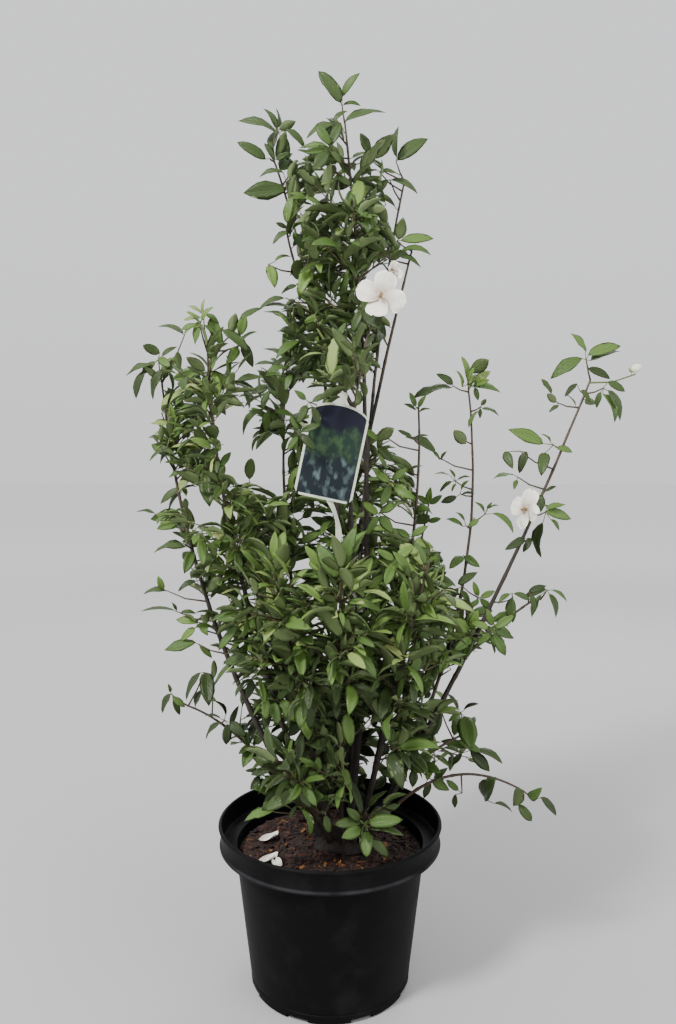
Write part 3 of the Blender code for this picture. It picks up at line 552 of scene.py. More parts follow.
def add_tube(mesh, places, radii, sides, slots, relief=None):
    """A closed tapering tube through the places, its ends drawn to a point."""
    last = len(places) - 1
    directions = [
        (places[min(index + 1, last)] - places[max(index - 1, 0)]).normalized() for index in range(last + 1)
    ]
    across = directions[0].orthogonal().normalized()
    angles = [math.tau * side / sides for side in range(sides)]
    points, uvs = [], []
    reached = 0.0
    for index, (place, along, radius) in enumerate(zip(places, directions, radii)):
        across = (across - along * across.dot(along)).normalized()
        beside = along.cross(across)
        reached += (place - places[max(index - 1, 0)]).length
        for angle in angles:
            out = radius if relief is None else radius * relief(reached, angle, index / len(places))
            points.append(place + (across * math.cos(angle) + beside * math.sin(angle)) * out)
            uvs.append((angle / math.tau, reached))
    faces, face_slots = [], []
    for ring in range(len(places) - 1):
        for side in range(sides):
            after = (side + 1) % sides
            low, high = ring * sides, (ring + 1) * sides
            faces.append((low + side, low + after, high + after, high + side))
            face_slots.append(slots[ring] if isinstance(slots, list) else slots)
    faces.append(tuple(reversed(range(sides))))
    faces.append(tuple(range(len(points) - sides, len(points))))
    face_slots += [face_slots[0], face_slots[-1]]
    mesh.add(points, faces, face_slots, uvs)


def cane_bark(name, dark, light, roughness, grain, relief):
    """Thin bark: dark and finely cracked on old wood, smooth and brown on this year's."""
    made = new_material(name, roughness)
    drawn_out = {"Vector": object_place(made[1]), "Scale": (1.0, 1.0, 0.22)}
    place = add_node(made[1], "ShaderNodeMapping", drawn_out).outputs["Vector"]
    return two_tone(made, place, (dark, light), (1 / grain, 7.0), (0.36, 0.70), relief)


curves = {}
for name, shoot in SHOOTS.items():
    if shoot.parent:
        foot = curves[shoot.parent].at(shoot.leaves_at * curves[shoot.parent].length)[0]
    else:
        foot = foot_on_crown(shoot)
    curves[name] = Curve(foot, Vector(shoot.middle), Vector(shoot.tip))

noise.seed_set(CANE_SEED)
canes = JoinedMesh()
for name, shoot in SHOOTS.items():
    curve = curves[name]
    seed = Vector((len(name), curve.length * 40, shoot.radius * 3000))
    steps = round(curve.length / CANE_STEP)
    places = [curve.at(curve.length * step / steps)[0] for step in range(steps + 1)]
    places = [place + noise.noise_vector(place / WANDER_LENGTH + seed) * CANE_WANDER for place in places]
    radii = [limb_radius(shoot, step / steps) for step in range(steps + 1)]

    def bark_relief(reached, angle, share, shoot=shoot, seed=seed):
        """Swollen nodes with a pair of old leaf scars, and ridges that deepen with age."""
        to_node = (reached % CANE_NODE) / CANE_NODE
        swelling = math.exp(-(((min(to_node, 1 - to_node)) * CANE_NODE / NODE_SPREAD) ** 2))
        facing = math.cos(2 * (angle + math.pi / 2 * (reached // CANE_NODE % 2)))
        ridge, flake = (
            noise.noise(Vector((math.cos(angle) * turns, math.sin(angle) * turns, reached / grain)) + start)
            for turns, grain, start in ((2.2, 0.016, seed), (1.2, 0.006, -seed))
        )
        age = (1 - share) * min(1.0, shoot.radius / 0.0036)
        return 1 + swelling * (0.16 + 0.14 * facing) + ridge * 0.16 * age + max(0.0, flake) * 0.12 * age

    slots = []
    for step in range(steps):
        width = limb_radius(shoot, step / steps)
        slots.append(0 if width > OLD_WIDTH else 1 if width > BROWN_WIDTH else 2)
    add_tube(canes, places, radii, CANE_SIDES, slots, bark_relief)
bark_finishes = [
    cane_bark("old cane bark", *OLD_BARK, 0.82, 0.0022, 0.0006),
    cane_bark("brown cane bark", *BROWN_BARK, 0.68, 0.0018, 0.0004),
    cane_bark("young cane bark", *YOUNG_BARK, 0.55, 0.0014, 0.0002),
]
cane_piece = canes.build("canes", True, bark_finishes, "bark", [name + "_bough" for name in SHOOTS])


# The root crown
# The woody foot that all the canes spring from, half sunk in the mulch, lobed towards the canes
# and covered in old cracked bark.
bpy.ops.object.select_all(action="DESELECT")
bpy.ops.mesh.primitive_uv_sphere_add(segments=96, ring_count=64, radius=1.0)
root_crown = bpy.context.object
root_crown.name = "woody_root_crown"
bpy.ops.object.mode_set(mode="EDIT")
bpy.ops.mesh.bisect(
    plane_co=(0.0, 0.0, 0.0), plane_no=(0.0, 0.0, 1.0), clear_inner=True, use_fill=True
)
bpy.ops.object.mode_set(mode="OBJECT")
cane_feet = [curves[name].points[0] for name, shoot in SHOOTS.items() if not shoot.parent]
for vertex in root_crown.data.vertices:
    angle = math.atan2(vertex.co.y, vertex.co.x)
    out = math.hypot(vertex.co.x, vertex.co.y)
    lobes = 1 + LOBE_DEPTH * math.cos(CROWN_LOBES * angle + 0.6) * (1 - vertex.co.z)
    flat = Vector((vertex.co.x * CROWN_WIDTH, vertex.co.y * CROWN_DEPTH, 0.0))
    spot = CROWN_CENTRE + flat * lobes * 0.96
    near = sum(math.exp(-((foot.xy - spot.xy).length / ROOT_FLARE) ** 2) for foot in cane_feet)
    knobs = noise.fractal(spot / KNOB_SIZE, 0.7, 2.0, 4) * KNOB_HEIGHT
    height = vertex.co.z * CROWN_HEIGHT * (0.72 + 0.10 * min(2.0, near))
    rise = knobs * (1 - out * 0.6) if vertex.co.z > 0.001 else 0.0
    vertex.co = spot + Vector((0.0, 0.0, 0.0003 + height + max(rise, -height * 0.5)))
root_crown.data.shade_smooth()
crown_bark = cane_bark("root crown bark", *OLD_BARK, 0.86, 0.0030, 0.0012)
finish_piece(root_crown, [crown_bark], ["root_crown"])


# The label
# A printed plastic card with an arched top hangs from one cane by a strap moulded in one with it.
# Its loose end hangs below. The print is a plain design of soft fields and clouds.
CARD_WIDTH = 0.060
CARD_HEIGHT = 0.098
CARD_THICKNESS = 0.0008
CARD_CENTRE = Vector((0.003, -0.071, 0.588))
CARD_TILT = math.radians(12)
CARD_ARCH = 0.014
CARD_BORDER = 0.0022
CARD_SIDE = 0.93
CARD_CORNER = 0.006
CARD_CORNER_SPAN = 0.2
CARD_BEND = 0.0035
STRAP_WIDTH = 0.008
STRAP_HEIGHT = 0.552
STRAP_WALL = 0.0012
STRAP_ROOM = 0.0006
WEB_WIDTH = 0.005
TAIL_ROOT = Vector((0.004, 0.0, 0.004 - CARD_HEIGHT / 2))
TAIL_DRIFT = Vector((0.030, -0.015, -0.116))
TAIL_CURL = 0.004
TAIL_TWIST = 1.1
TAIL_STEPS = 30
# Painted shade: the card's white is dulled grey-green, and patched with olive up to half, as the leaves
# shade it.
CARD_WHITE = "#bfc5b2"
CARD_PAINTED_SHADE = "#7f866b"
TAB_SIZE = (0.007, 0.0012, 0.015)
PRINT_NAVY = "#0c0f20"
PRINT_GREEN = "#172b22"
PRINT_LEAF = "#33492c"
PRINT_DARK = "#101a20"
PRINT_PALE = "#566868"

def white_card_plastic():
    """Unprinted polypropylene sheet: slightly translucent white, seen here as a soft satin, its white
    painted grey-green and patched with olive as shade from the leaves round it.
    """
    made = new_material("white card plastic", 0.38, 1.49)
    colours = (CARD_WHITE, CARD_PAINTED_SHADE)
    return two_tone(made, object_place(made[1]), colours, (100.0, 5.0), (0.50, 0.80, 0.0, 0.5), None)


def printed_card():
    """Offset print under thin varnish: soft fields of navy, green and near black, pale clouds low down."""
    material, tree, shader = new_material("printed card", 0.42, 1.49)
    shader.inputs["Specular IOR Level"].default_value = 0.25
    place = grown_place(tree)
    height = reckon(tree, "MULTIPLY_ADD", noise_at(tree, place, 6.0, 4.0), 0.42, part_of(tree, place, "Y"))
    leafy = in_range(tree, noise_at(tree, place, 9.0, 4.0), 0.46, 0.66, 0.0, 0.9)
    cloudy = in_range(tree, noise_at(tree, place, 6.5, 2.5), 0.50, 0.68, 0.0, 0.9)
    field = blend(tree, leafy, PRINT_GREEN, PRINT_LEAF)
    foot = blend(tree, cloudy, PRINT_DARK, PRINT_PALE)
    lower = blend(tree, in_range(tree, height, 0.58, 0.70), foot, field)
    whole = blend(tree, in_range(tree, height, 0.92, 0.99), lower, PRINT_NAVY)
    tree.links.new(whole, shader.inputs["Base Color"])
    return material


def apply_placement(piece):
    """Bakes a piece's place and turn into its mesh."""
    select_only(piece)
    bpy.ops.object.transform_apply(location=True, rotation=True, scale=True)


def card_top(across):
    """The height of the card's arched edge, where across runs from -1 to 1."""
    return CARD_HEIGHT - CARD_ARCH + CARD_ARCH * math.sqrt(max(0.0, 1 - across * across))


bpy.ops.object.select_all(action="DESELECT")
bpy.ops.mesh.primitive_grid_add(
    x_subdivisions=24, y_subdivisions=40, size=1.0, rotation=(math.pi / 2, 0, 0)
)
card = bpy.context.object
card.name = "printed_label"
apply_placement(card)
card_print = card.data.uv_layers.new(name="growth")
for vertex in card.data.vertices:
    across, up = vertex.co.x * 2, vertex.co.z + 0.5
    corner = CARD_CORNER * max(0.0, abs(across) - (1 - CARD_CORNER_SPAN)) / CARD_CORNER_SPAN
    low = corner * corner / CARD_CORNER
    height = low + (card_top(across) - low) * up - CARD_HEIGHT / 2
    vertex.co = Vector((across * CARD_WIDTH / 2, -CARD_BEND * (1 - across * across), height))
for corner in card.data.loops:
    place = card.data.vertices[corner.vertex_index].co
    card_print.data[corner.index].uv = (place.x / CARD_WIDTH + 0.5, place.z / CARD_HEIGHT + 0.5)
edge_faces = []
for face in card.data.polygons:
    across, up = abs(face.center.x) / (CARD_WIDTH / 2), face.center.z + CARD_HEIGHT / 2
    edge_faces.append(int(across > CARD_SIDE or not CARD_BORDER <= up <= card_top(across) - CARD_BORDER))
tilt = Matrix.Rotation(CARD_TILT, 4, "Y")
card.data.transform(Matrix.Translation(CARD_CENTRE + Vector((0.0, CARD_BEND / 2, 0.0))) @ tilt)
finish_piece(card, [printed_card(), white_card_plastic()], ["plant_label"])
card.data.polygons.foreach_set("material_index", edge_faces)
apply_modifier(
    card, "SOLIDIFY", thickness=CARD_THICKNESS, offset=0.0, material_offset=1, material_offset_rim=1
)

strap_curve, strap_shoot = curves["leader_front"], SHOOTS["leader_front"]
strap_at = next(
    d / 1000 for d in range(1000) if strap_curve.at(strap_curve.length * d / 1000)[0].z > STRAP_HEIGHT
)
strap_middle, strap_along = strap_curve.at(strap_curve.length * strap_at)
strap_radius = limb_radius(strap_shoot, strap_at) + STRAP_ROOM + STRAP_WALL / 2
bpy.ops.object.select_all(action="DESELECT")
bpy.ops.mesh.primitive_cylinder_add(
    vertices=40, radius=strap_radius, depth=STRAP_WIDTH, end_fill_type="NOTHING", location=strap_middle
)
strap = bpy.context.object
strap.name = "label_strap"
strap.rotation_mode = "QUATERNION"
strap.rotation_quaternion = Vector((0.0, 0.0, 1.0)).rotation_difference(strap_along)
apply_placement(strap)
bpy.ops.mesh.primitive_cube_add(size=1.0)
web = bpy.context.object
web_foot = CARD_CENTRE.y + CARD_BEND * 0.45
web_depth = strap_middle.y - strap_radius - web_foot
web.scale = (WEB_WIDTH, web_depth, STRAP_WIDTH * 0.7)
web.location = (strap_middle.x, web_foot + web_depth / 2, strap_middle.z)
apply_placement(web)
apply_modifier(strap, "SOLIDIFY", thickness=STRAP_WALL, offset=0.0)

bpy.ops.mesh.primitive_cube_add(size=1.0)
tab = bpy.context.object
tab.scale = TAB_SIZE
tab.location = (0.0, CARD_BEND * -0.4, CARD_HEIGHT / 2 + TAB_SIZE[2] * 0.28)
apply_placement(tab)
tab.data.transform(Matrix.Translation(CARD_CENTRE) @ tilt)

tail_root = CARD_CENTRE + tilt.to_3x3() @ TAIL_ROOT
bpy.ops.mesh.primitive_plane_add(size=STRAP_WIDTH)
tail = bpy.context.object
bpy.ops.object.mode_set(mode="EDIT")
bpy.ops.mesh.delete(type="ONLY_FACE")
bpy.ops.mesh.select_all(action="DESELECT")
bpy.ops.object.mode_set(mode="OBJECT")
tail_edge = next(
    edge for edge in tail.data.edges if all(tail.data.vertices[end].co.y > 0 for end in edge.vertices)
)
tail_edge.select = True
bpy.ops.object.mode_set(mode="EDIT")
bpy.ops.mesh.select_mode(type="EDGE")
for step in range(TAIL_STEPS):
    bpy.ops.mesh.extrude_region_move(TRANSFORM_OT_translate={"value": (0.0, STRAP_WIDTH, 0.0)})
bpy.ops.object.mode_set(mode="OBJECT")
for vertex in tail.data.vertices:
    share = max(0.0, vertex.co.y / STRAP_WIDTH - 0.5) / TAIL_STEPS
    spot = tail_root + Vector((TAIL_DRIFT.x * share, TAIL_DRIFT.y * share**1.5, TAIL_DRIFT.z * share))
    spot.x += TAIL_CURL * math.sin(share * 8.0)
    twist = TAIL_TWIST * math.sin(share * 9.0)
    side = vertex.co.x * (0.85 - 0.2 * share)
    vertex.co = spot + Vector((side * math.cos(twist), side * math.sin(twist), 0.0))
bpy.ops.object.mode_set(mode="EDIT")
bpy.ops.mesh.select_all(action="SELECT")
bpy.ops.mesh.remove_doubles(threshold=MERGE_APART)
bpy.ops.mesh.select_loose()
bpy.ops.mesh.delete(type="EDGE")
bpy.ops.object.mode_set(mode="OBJECT")
apply_modifier(tail, "SOLIDIFY", thickness=CARD_THICKNESS, offset=0.0)
bpy.ops.object.select_all(action="DESELECT")
for part in (web, tab, tail, strap):
    part.select_set(True)
bpy.context.view_layer.objects.active = strap
bpy.ops.object.join()
bpy.ops.object.shade_smooth_by_angle(angle=math.radians(40))
finish_piece(strap, [white_card_plastic()], ["plant_label"])


# The blossoms
# Four broad white petals, a little cupped and overlapping like a pinwheel, round a brush of yellow
# stamens. A green cup with four pointed lobes holds them on a short stalk.
class Blossom(NamedTuple):
    """Where a blossom sits, which way it looks, how large it is and how far its petals close up."""

    place: tuple
    facing: tuple
    size: float
    closed: float


BLOSSOMS = {
    "leader_front": [
        Blossom((0.0505, -0.0960, 0.7380), (-0.10, -1.0, 0.05), 1.0, 0.16),
        Blossom((0.0620, -0.0640, 0.7680), (0.45, -0.80, 0.40), 0.52, 0.95),
    ],
    "right_outer": [Blossom((0.2090, -0.0340, 0.5280), (-0.84, -0.54, 0.10), 0.92, 0.22)],
}
BUD_PLACES = {"right_outer": (0.333, -0.004, 0.680)}
PETAL_LENGTH = 0.0228
PETAL_BREADTH = 0.0112
PETALS = 4
PETAL_GRID = (10, 10)
PETAL_THICKNESS = 0.0004
STAMENS = 26
STAMEN_RADII = [0.00022, 0.00018, 0.00016]
ANTHER_SIZE = 0.0006
LOBE_WIDTH, LOBE_LENGTH = 0.0024, 0.0078
PETAL_WHITE = "#efede0"
PETAL_CREAM = "#e6dfca"
# Painted shade at the flower's heart, where the petals meet round the stamens.
PETAL_HEART_SHADE = "#b39d8c"
STAMEN_YELLOW = "#c9b48a"
ANTHER_BROWN = "#9a7348"
CALYX_GREEN = "#7c9150"
PETAL, FILAMENT, ANTHER, CALYX, CREAM = range(5)
BALL_POINTS = np.array([(1, 0, 0), (-1, 0, 0), (0, 1, 0), (0, -1, 0), (0, 0, 1), (0, 0, -1)], float)
BALL_FACES = [(0, 2, 4), (2, 1, 4), (1, 3, 4), (3, 0, 4), (2, 0, 5), (1, 2, 5), (3, 1, 5), (0, 3, 5)]


def grid_shell(rows, columns, place, thickness):
    """A thin closed sheet: place(u, v) gives each point and u runs across from -1 to 1."""
    points, uvs = [], []
    for side in (1, -1):
        for row in range(rows + 1):
            for column in range(columns + 1):
                u, v = 2 * column / columns - 1, row / rows
                rim = min(row, rows - row, column, columns - column)
                lift = Vector((0.0, 0.0, side * (thickness / 2 if rim else 0.0)))
                points.append(place(u, v) + lift)
                uvs.append((u / 2 + 0.5, v))
    width, layer = columns + 1, (rows + 1) * (columns + 1)
    faces = []
    for row in range(rows):
        for column in range(columns):
            a = row * width + column
            faces.append((a, a + 1, a + width + 1, a + width))
            faces.append((a + layer, a + width + layer, a + width + 1 + layer, a + 1 + layer))
    rim = list(range(columns))
    rim += [row * width + columns for row in range(rows)]
    rim += [rows * width + column for column in range(columns, 0, -1)]
    rim += [row * width for row in range(rows, 0, -1)]
    for index, corner in enumerate(rim):
        after = rim[(index + 1) % len(rim)]
        faces.append((after, corner, corner + layer, after + layer))
    return points, faces, uvs


def petal_place(length, breadth, cup, seed):
    """A rounded petal with a narrow claw, cupped and gently ruffled at its edge."""
    def place(u, v):
        half = breadth * (0.18 + 0.82 * math.sin(math.pi * min(1.0, v * 0.62 + 0.10)) ** 0.8)
        half *= math.sqrt(max(0.0, 1 - max(0.0, (v - 0.66) / 0.36) ** 2.2))
        ruffle = noise.noise(Vector((u * 1.6, v * 2.4, seed))) * 0.0030 * v
        rise = cup * length * v * v + 0.0018 * u * u * v + ruffle
        notch = 1 - 0.05 * math.exp(-((u / 0.3) ** 2)) * v**6
        return Vector((u * half, v * length * notch, rise))

    return place


def add_flower(mesh, blossom, seed):
    """One blossom: four petals that each overlap the next, its stamens and its cup."""
    place, facing = Vector(blossom.place), Vector(blossom.facing).normalized()
    brush = random.Random(seed)
    side = facing.orthogonal().normalized()
    first = brush.uniform(0.2, 0.7)
    for petal in range(PETALS):
        turn = math.tau * petal / PETALS + first + brush.uniform(-0.12, 0.12)
        across = Quaternion(facing, turn) @ side
        closed = blossom.closed + brush.uniform(-0.16, 0.22)
        outward = across * math.cos(closed) + facing * math.sin(closed)
        beside = (facing.cross(across) + facing * 0.20).normalized()
        beside = (beside - outward * beside.dot(outward)).normalized()
        upright = beside.cross(outward)
        length = PETAL_LENGTH * blossom.size * brush.uniform(0.93, 1.05)
        cup = brush.uniform(-0.06, 0.24)
        shape = petal_place(length, PETAL_BREADTH * blossom.size, cup, seed + petal * 3.1)
        points, faces, uvs = grid_shell(*PETAL_GRID, shape, PETAL_THICKNESS)
        root = place + across * 0.0012 + facing * 0.0003 * petal
        mesh.add(np.array(points) @ np.array([beside, outward, upright]) + np.array(root), faces, PETAL, uvs)
    for _ in range(STAMENS):
        lean = brush.uniform(0.05, 0.62)
        out = Quaternion(facing, brush.uniform(0.0, math.tau)) @ side
        direction = (facing * math.cos(lean) + out * math.sin(lean)).normalized()
        tip = place + direction * brush.uniform(0.005, 0.0080) * blossom.size + facing * 0.0008
        middle = place.lerp(tip, 0.5) + facing * 0.0006
        add_tube(mesh, [place, middle, tip], STAMEN_RADII, 3, FILAMENT)
        mesh.add(BALL_POINTS * ANTHER_SIZE + np.array(tip), BALL_FACES, ANTHER)
    add_calyx(mesh, place - facing * 0.0012, facing, side, blossom.size)


def add_calyx(mesh, place, facing, side, size):
    """The green cup behind the petals, with four pointed lobes spread under them."""
    cup = [place - facing * 0.0046 * size, place - facing * 0.003 * size, place - facing * 0.0004, place]
    add_tube(mesh, cup, [0.0009 * size, 0.0024 * size, 0.0030 * size, 0.0022 * size], 10, CALYX)
    for lobe in range(4):
        outward = Quaternion(facing, math.tau * lobe / 4 + 0.5 + math.pi / 4) @ side
        beside = outward.cross(facing)

        def lobe_place(u, v):
            wide = u * LOBE_WIDTH * size * (1 - v) ** 0.7
            return Vector((wide, v * LOBE_LENGTH * size, -0.0012 * v * v))

        points, faces, uvs = grid_shell(4, 2, lobe_place, 0.0003)
        turn = np.array([beside, outward, facing])
        mesh.add(np.array(points) @ turn + np.array(place - facing * 0.0006), faces, CALYX, uvs)


def petal_tissue():
    """Thin living petal: matt and bright, with fine veins from the claw, and beige towards the claw as
    painted shade where the petals meet at the flower's heart.
    """
    material, tree, shader = new_material("petal tissue", 0.58, 1.4)
    shader.inputs["Sheen Weight"].default_value = 0.15
    place = grown_place(tree)
    # Painted shade: each petal darkens to beige over its lower half, towards the claw.
    heart_shade = in_range(tree, part_of(tree, place, "Y"), 0.0, 0.55, 0.9, 0.0)
    tree.links.new(blend(tree, heart_shade, PETAL_WHITE, PETAL_HEART_SHADE), shader.inputs["Base Color"])
    drawn_out = {"Vector": place, "Scale": (26.0, 1.6, 1.0)}
    fan = add_node(tree, "ShaderNodeMapping", drawn_out).outputs["Vector"]
    add_bump(tree, shader, noise_at(tree, fan, 1.0, 3.0), 0.0003)
    return material


def plain_tissue(name, colour, roughness):
    """A small plant part of one colour, with a fine uneven skin."""
    material, tree, shader = new_material(name, roughness, 1.4)
    shader.inputs["Base Color"].default_value = linear(colour)
    add_bump(tree, shader, noise_at(tree, object_place(tree), 830.0, 3.0), 0.0002)
    return material


# The foliage
# Leaves stand in opposite pairs on thin side twigs, each pair turned a right angle from the last.
# They are pointed ovals that fold a little along the midrib and arch over, paler underneath. The
# sprays that show against the sky have their places below, and the rest grow on from the stems.
TWIG_RADIUS = 0.0009
STEM_NODE = 0.024
FIRST_NODE = 0.008
LAST_GAP = 0.006
TWIG_NODE = 0.0115
ROUNDS = {
    "leader": 3, "leader_left": 3, "leader_right": 3, "leader_front": 3, "leader_low_left": 3,
    "left_inner": 3, "left_outer": 3, "left_mid": 3, "centre_right": 5, "mid_right": 3,
}
MOST_ROUNDS = 5
FURTHEST = 1.12
WINDOW_DEPTH = 0.02
FIRST_TWIG_NODE = 0.007
SHORTEST_TWIG = 0.016
TWIG_RISE = 0.12
REACH_AT_START = 0.72
REACH_PHASE = 0.15
TWIG_SHRINK = 0.62
SIDE_TWIG = 0.46
SIDE_TWIG_CHANCE = 0.7
LONG_TWIG = 0.034
PAIR_SPREAD = 1.08
TIP_SPREAD = 0.62
STEM_SPREAD = 1.1
SMALLER_LEAF = 0.75
TIP_PAIRS = ((0.0, 0.55), (0.010, 0.85), (0.022, 1.0))
DROOP = Vector((0.0, 0.0, 0.14))
PETIOLE = 0.0045
LONG_STALK = 0.012
PETIOLE_RADIUS = 0.00045
LEAF_ROOM = 0.0004
BOX_ROOM = 0.0005
SEEN_PUSHES = (0.0, -0.005, 0.005, -0.010, 0.010, 0.016)
LEAF_THICKNESS = 0.0004
LEAF_LENGTH = 0.040
LEAF_LENGTHS = {
    "leader": 0.041, "leader_left": 0.040, "leader_right": 0.040, "leader_front": 0.038,
    "left_outer": 0.033, "left_inner": 0.035, "right_thin": 0.024, "right_outer": 0.030,
    "right_side": 0.030, "low_right": 0.026, "low_left": 0.032, "rim_shoot": 0.042, "right_low": 0.034,
}
TOOTH_DEPTH = 0.07
BLADE_SWELL = 0.10
BLADE_ROWS = (0.10, 0.27, 0.46, 0.66, 0.85)
BLADE_COLUMNS = (-1.0, -0.5, 0.0, 0.5, 1.0)
LEAF_GREENS = ["#313f1f", "#3d4f26", "#475f2b", "#556f33", "#67823d", "#829653", "#a2ae6a"]
UNDER_GREENS = ["#56663c", "#68784c"]
UPPER_ODDS = [5, 6, 6, 3, 2, 1, 0]
LOWER_ODDS = [0, 1, 4, 6, 5, 2, 0]
TIP_ODDS = [0, 1, 3, 4, 4, 2, 1]
# Painted shade for the leaves low in the middle of the plant.
SHADY_ODDS = [12, 6, 3, 1, 0, 0, 0]
SIDE_ODDS = [0, 2, 4, 5, 4, 3, 1]
UPPER_HEIGHT = 0.56
SHADY_HEIGHT = 0.37
SIDE_REACH = 0.085
TWIG_BROWN = ("#33281c", "#57482f")
TWIG_GREEN = "#5c663a"
WOODY_TWIG, YOUNG_TWIG = 0, 1
EYE = Vector((0.0088, -0.878, 0.567))
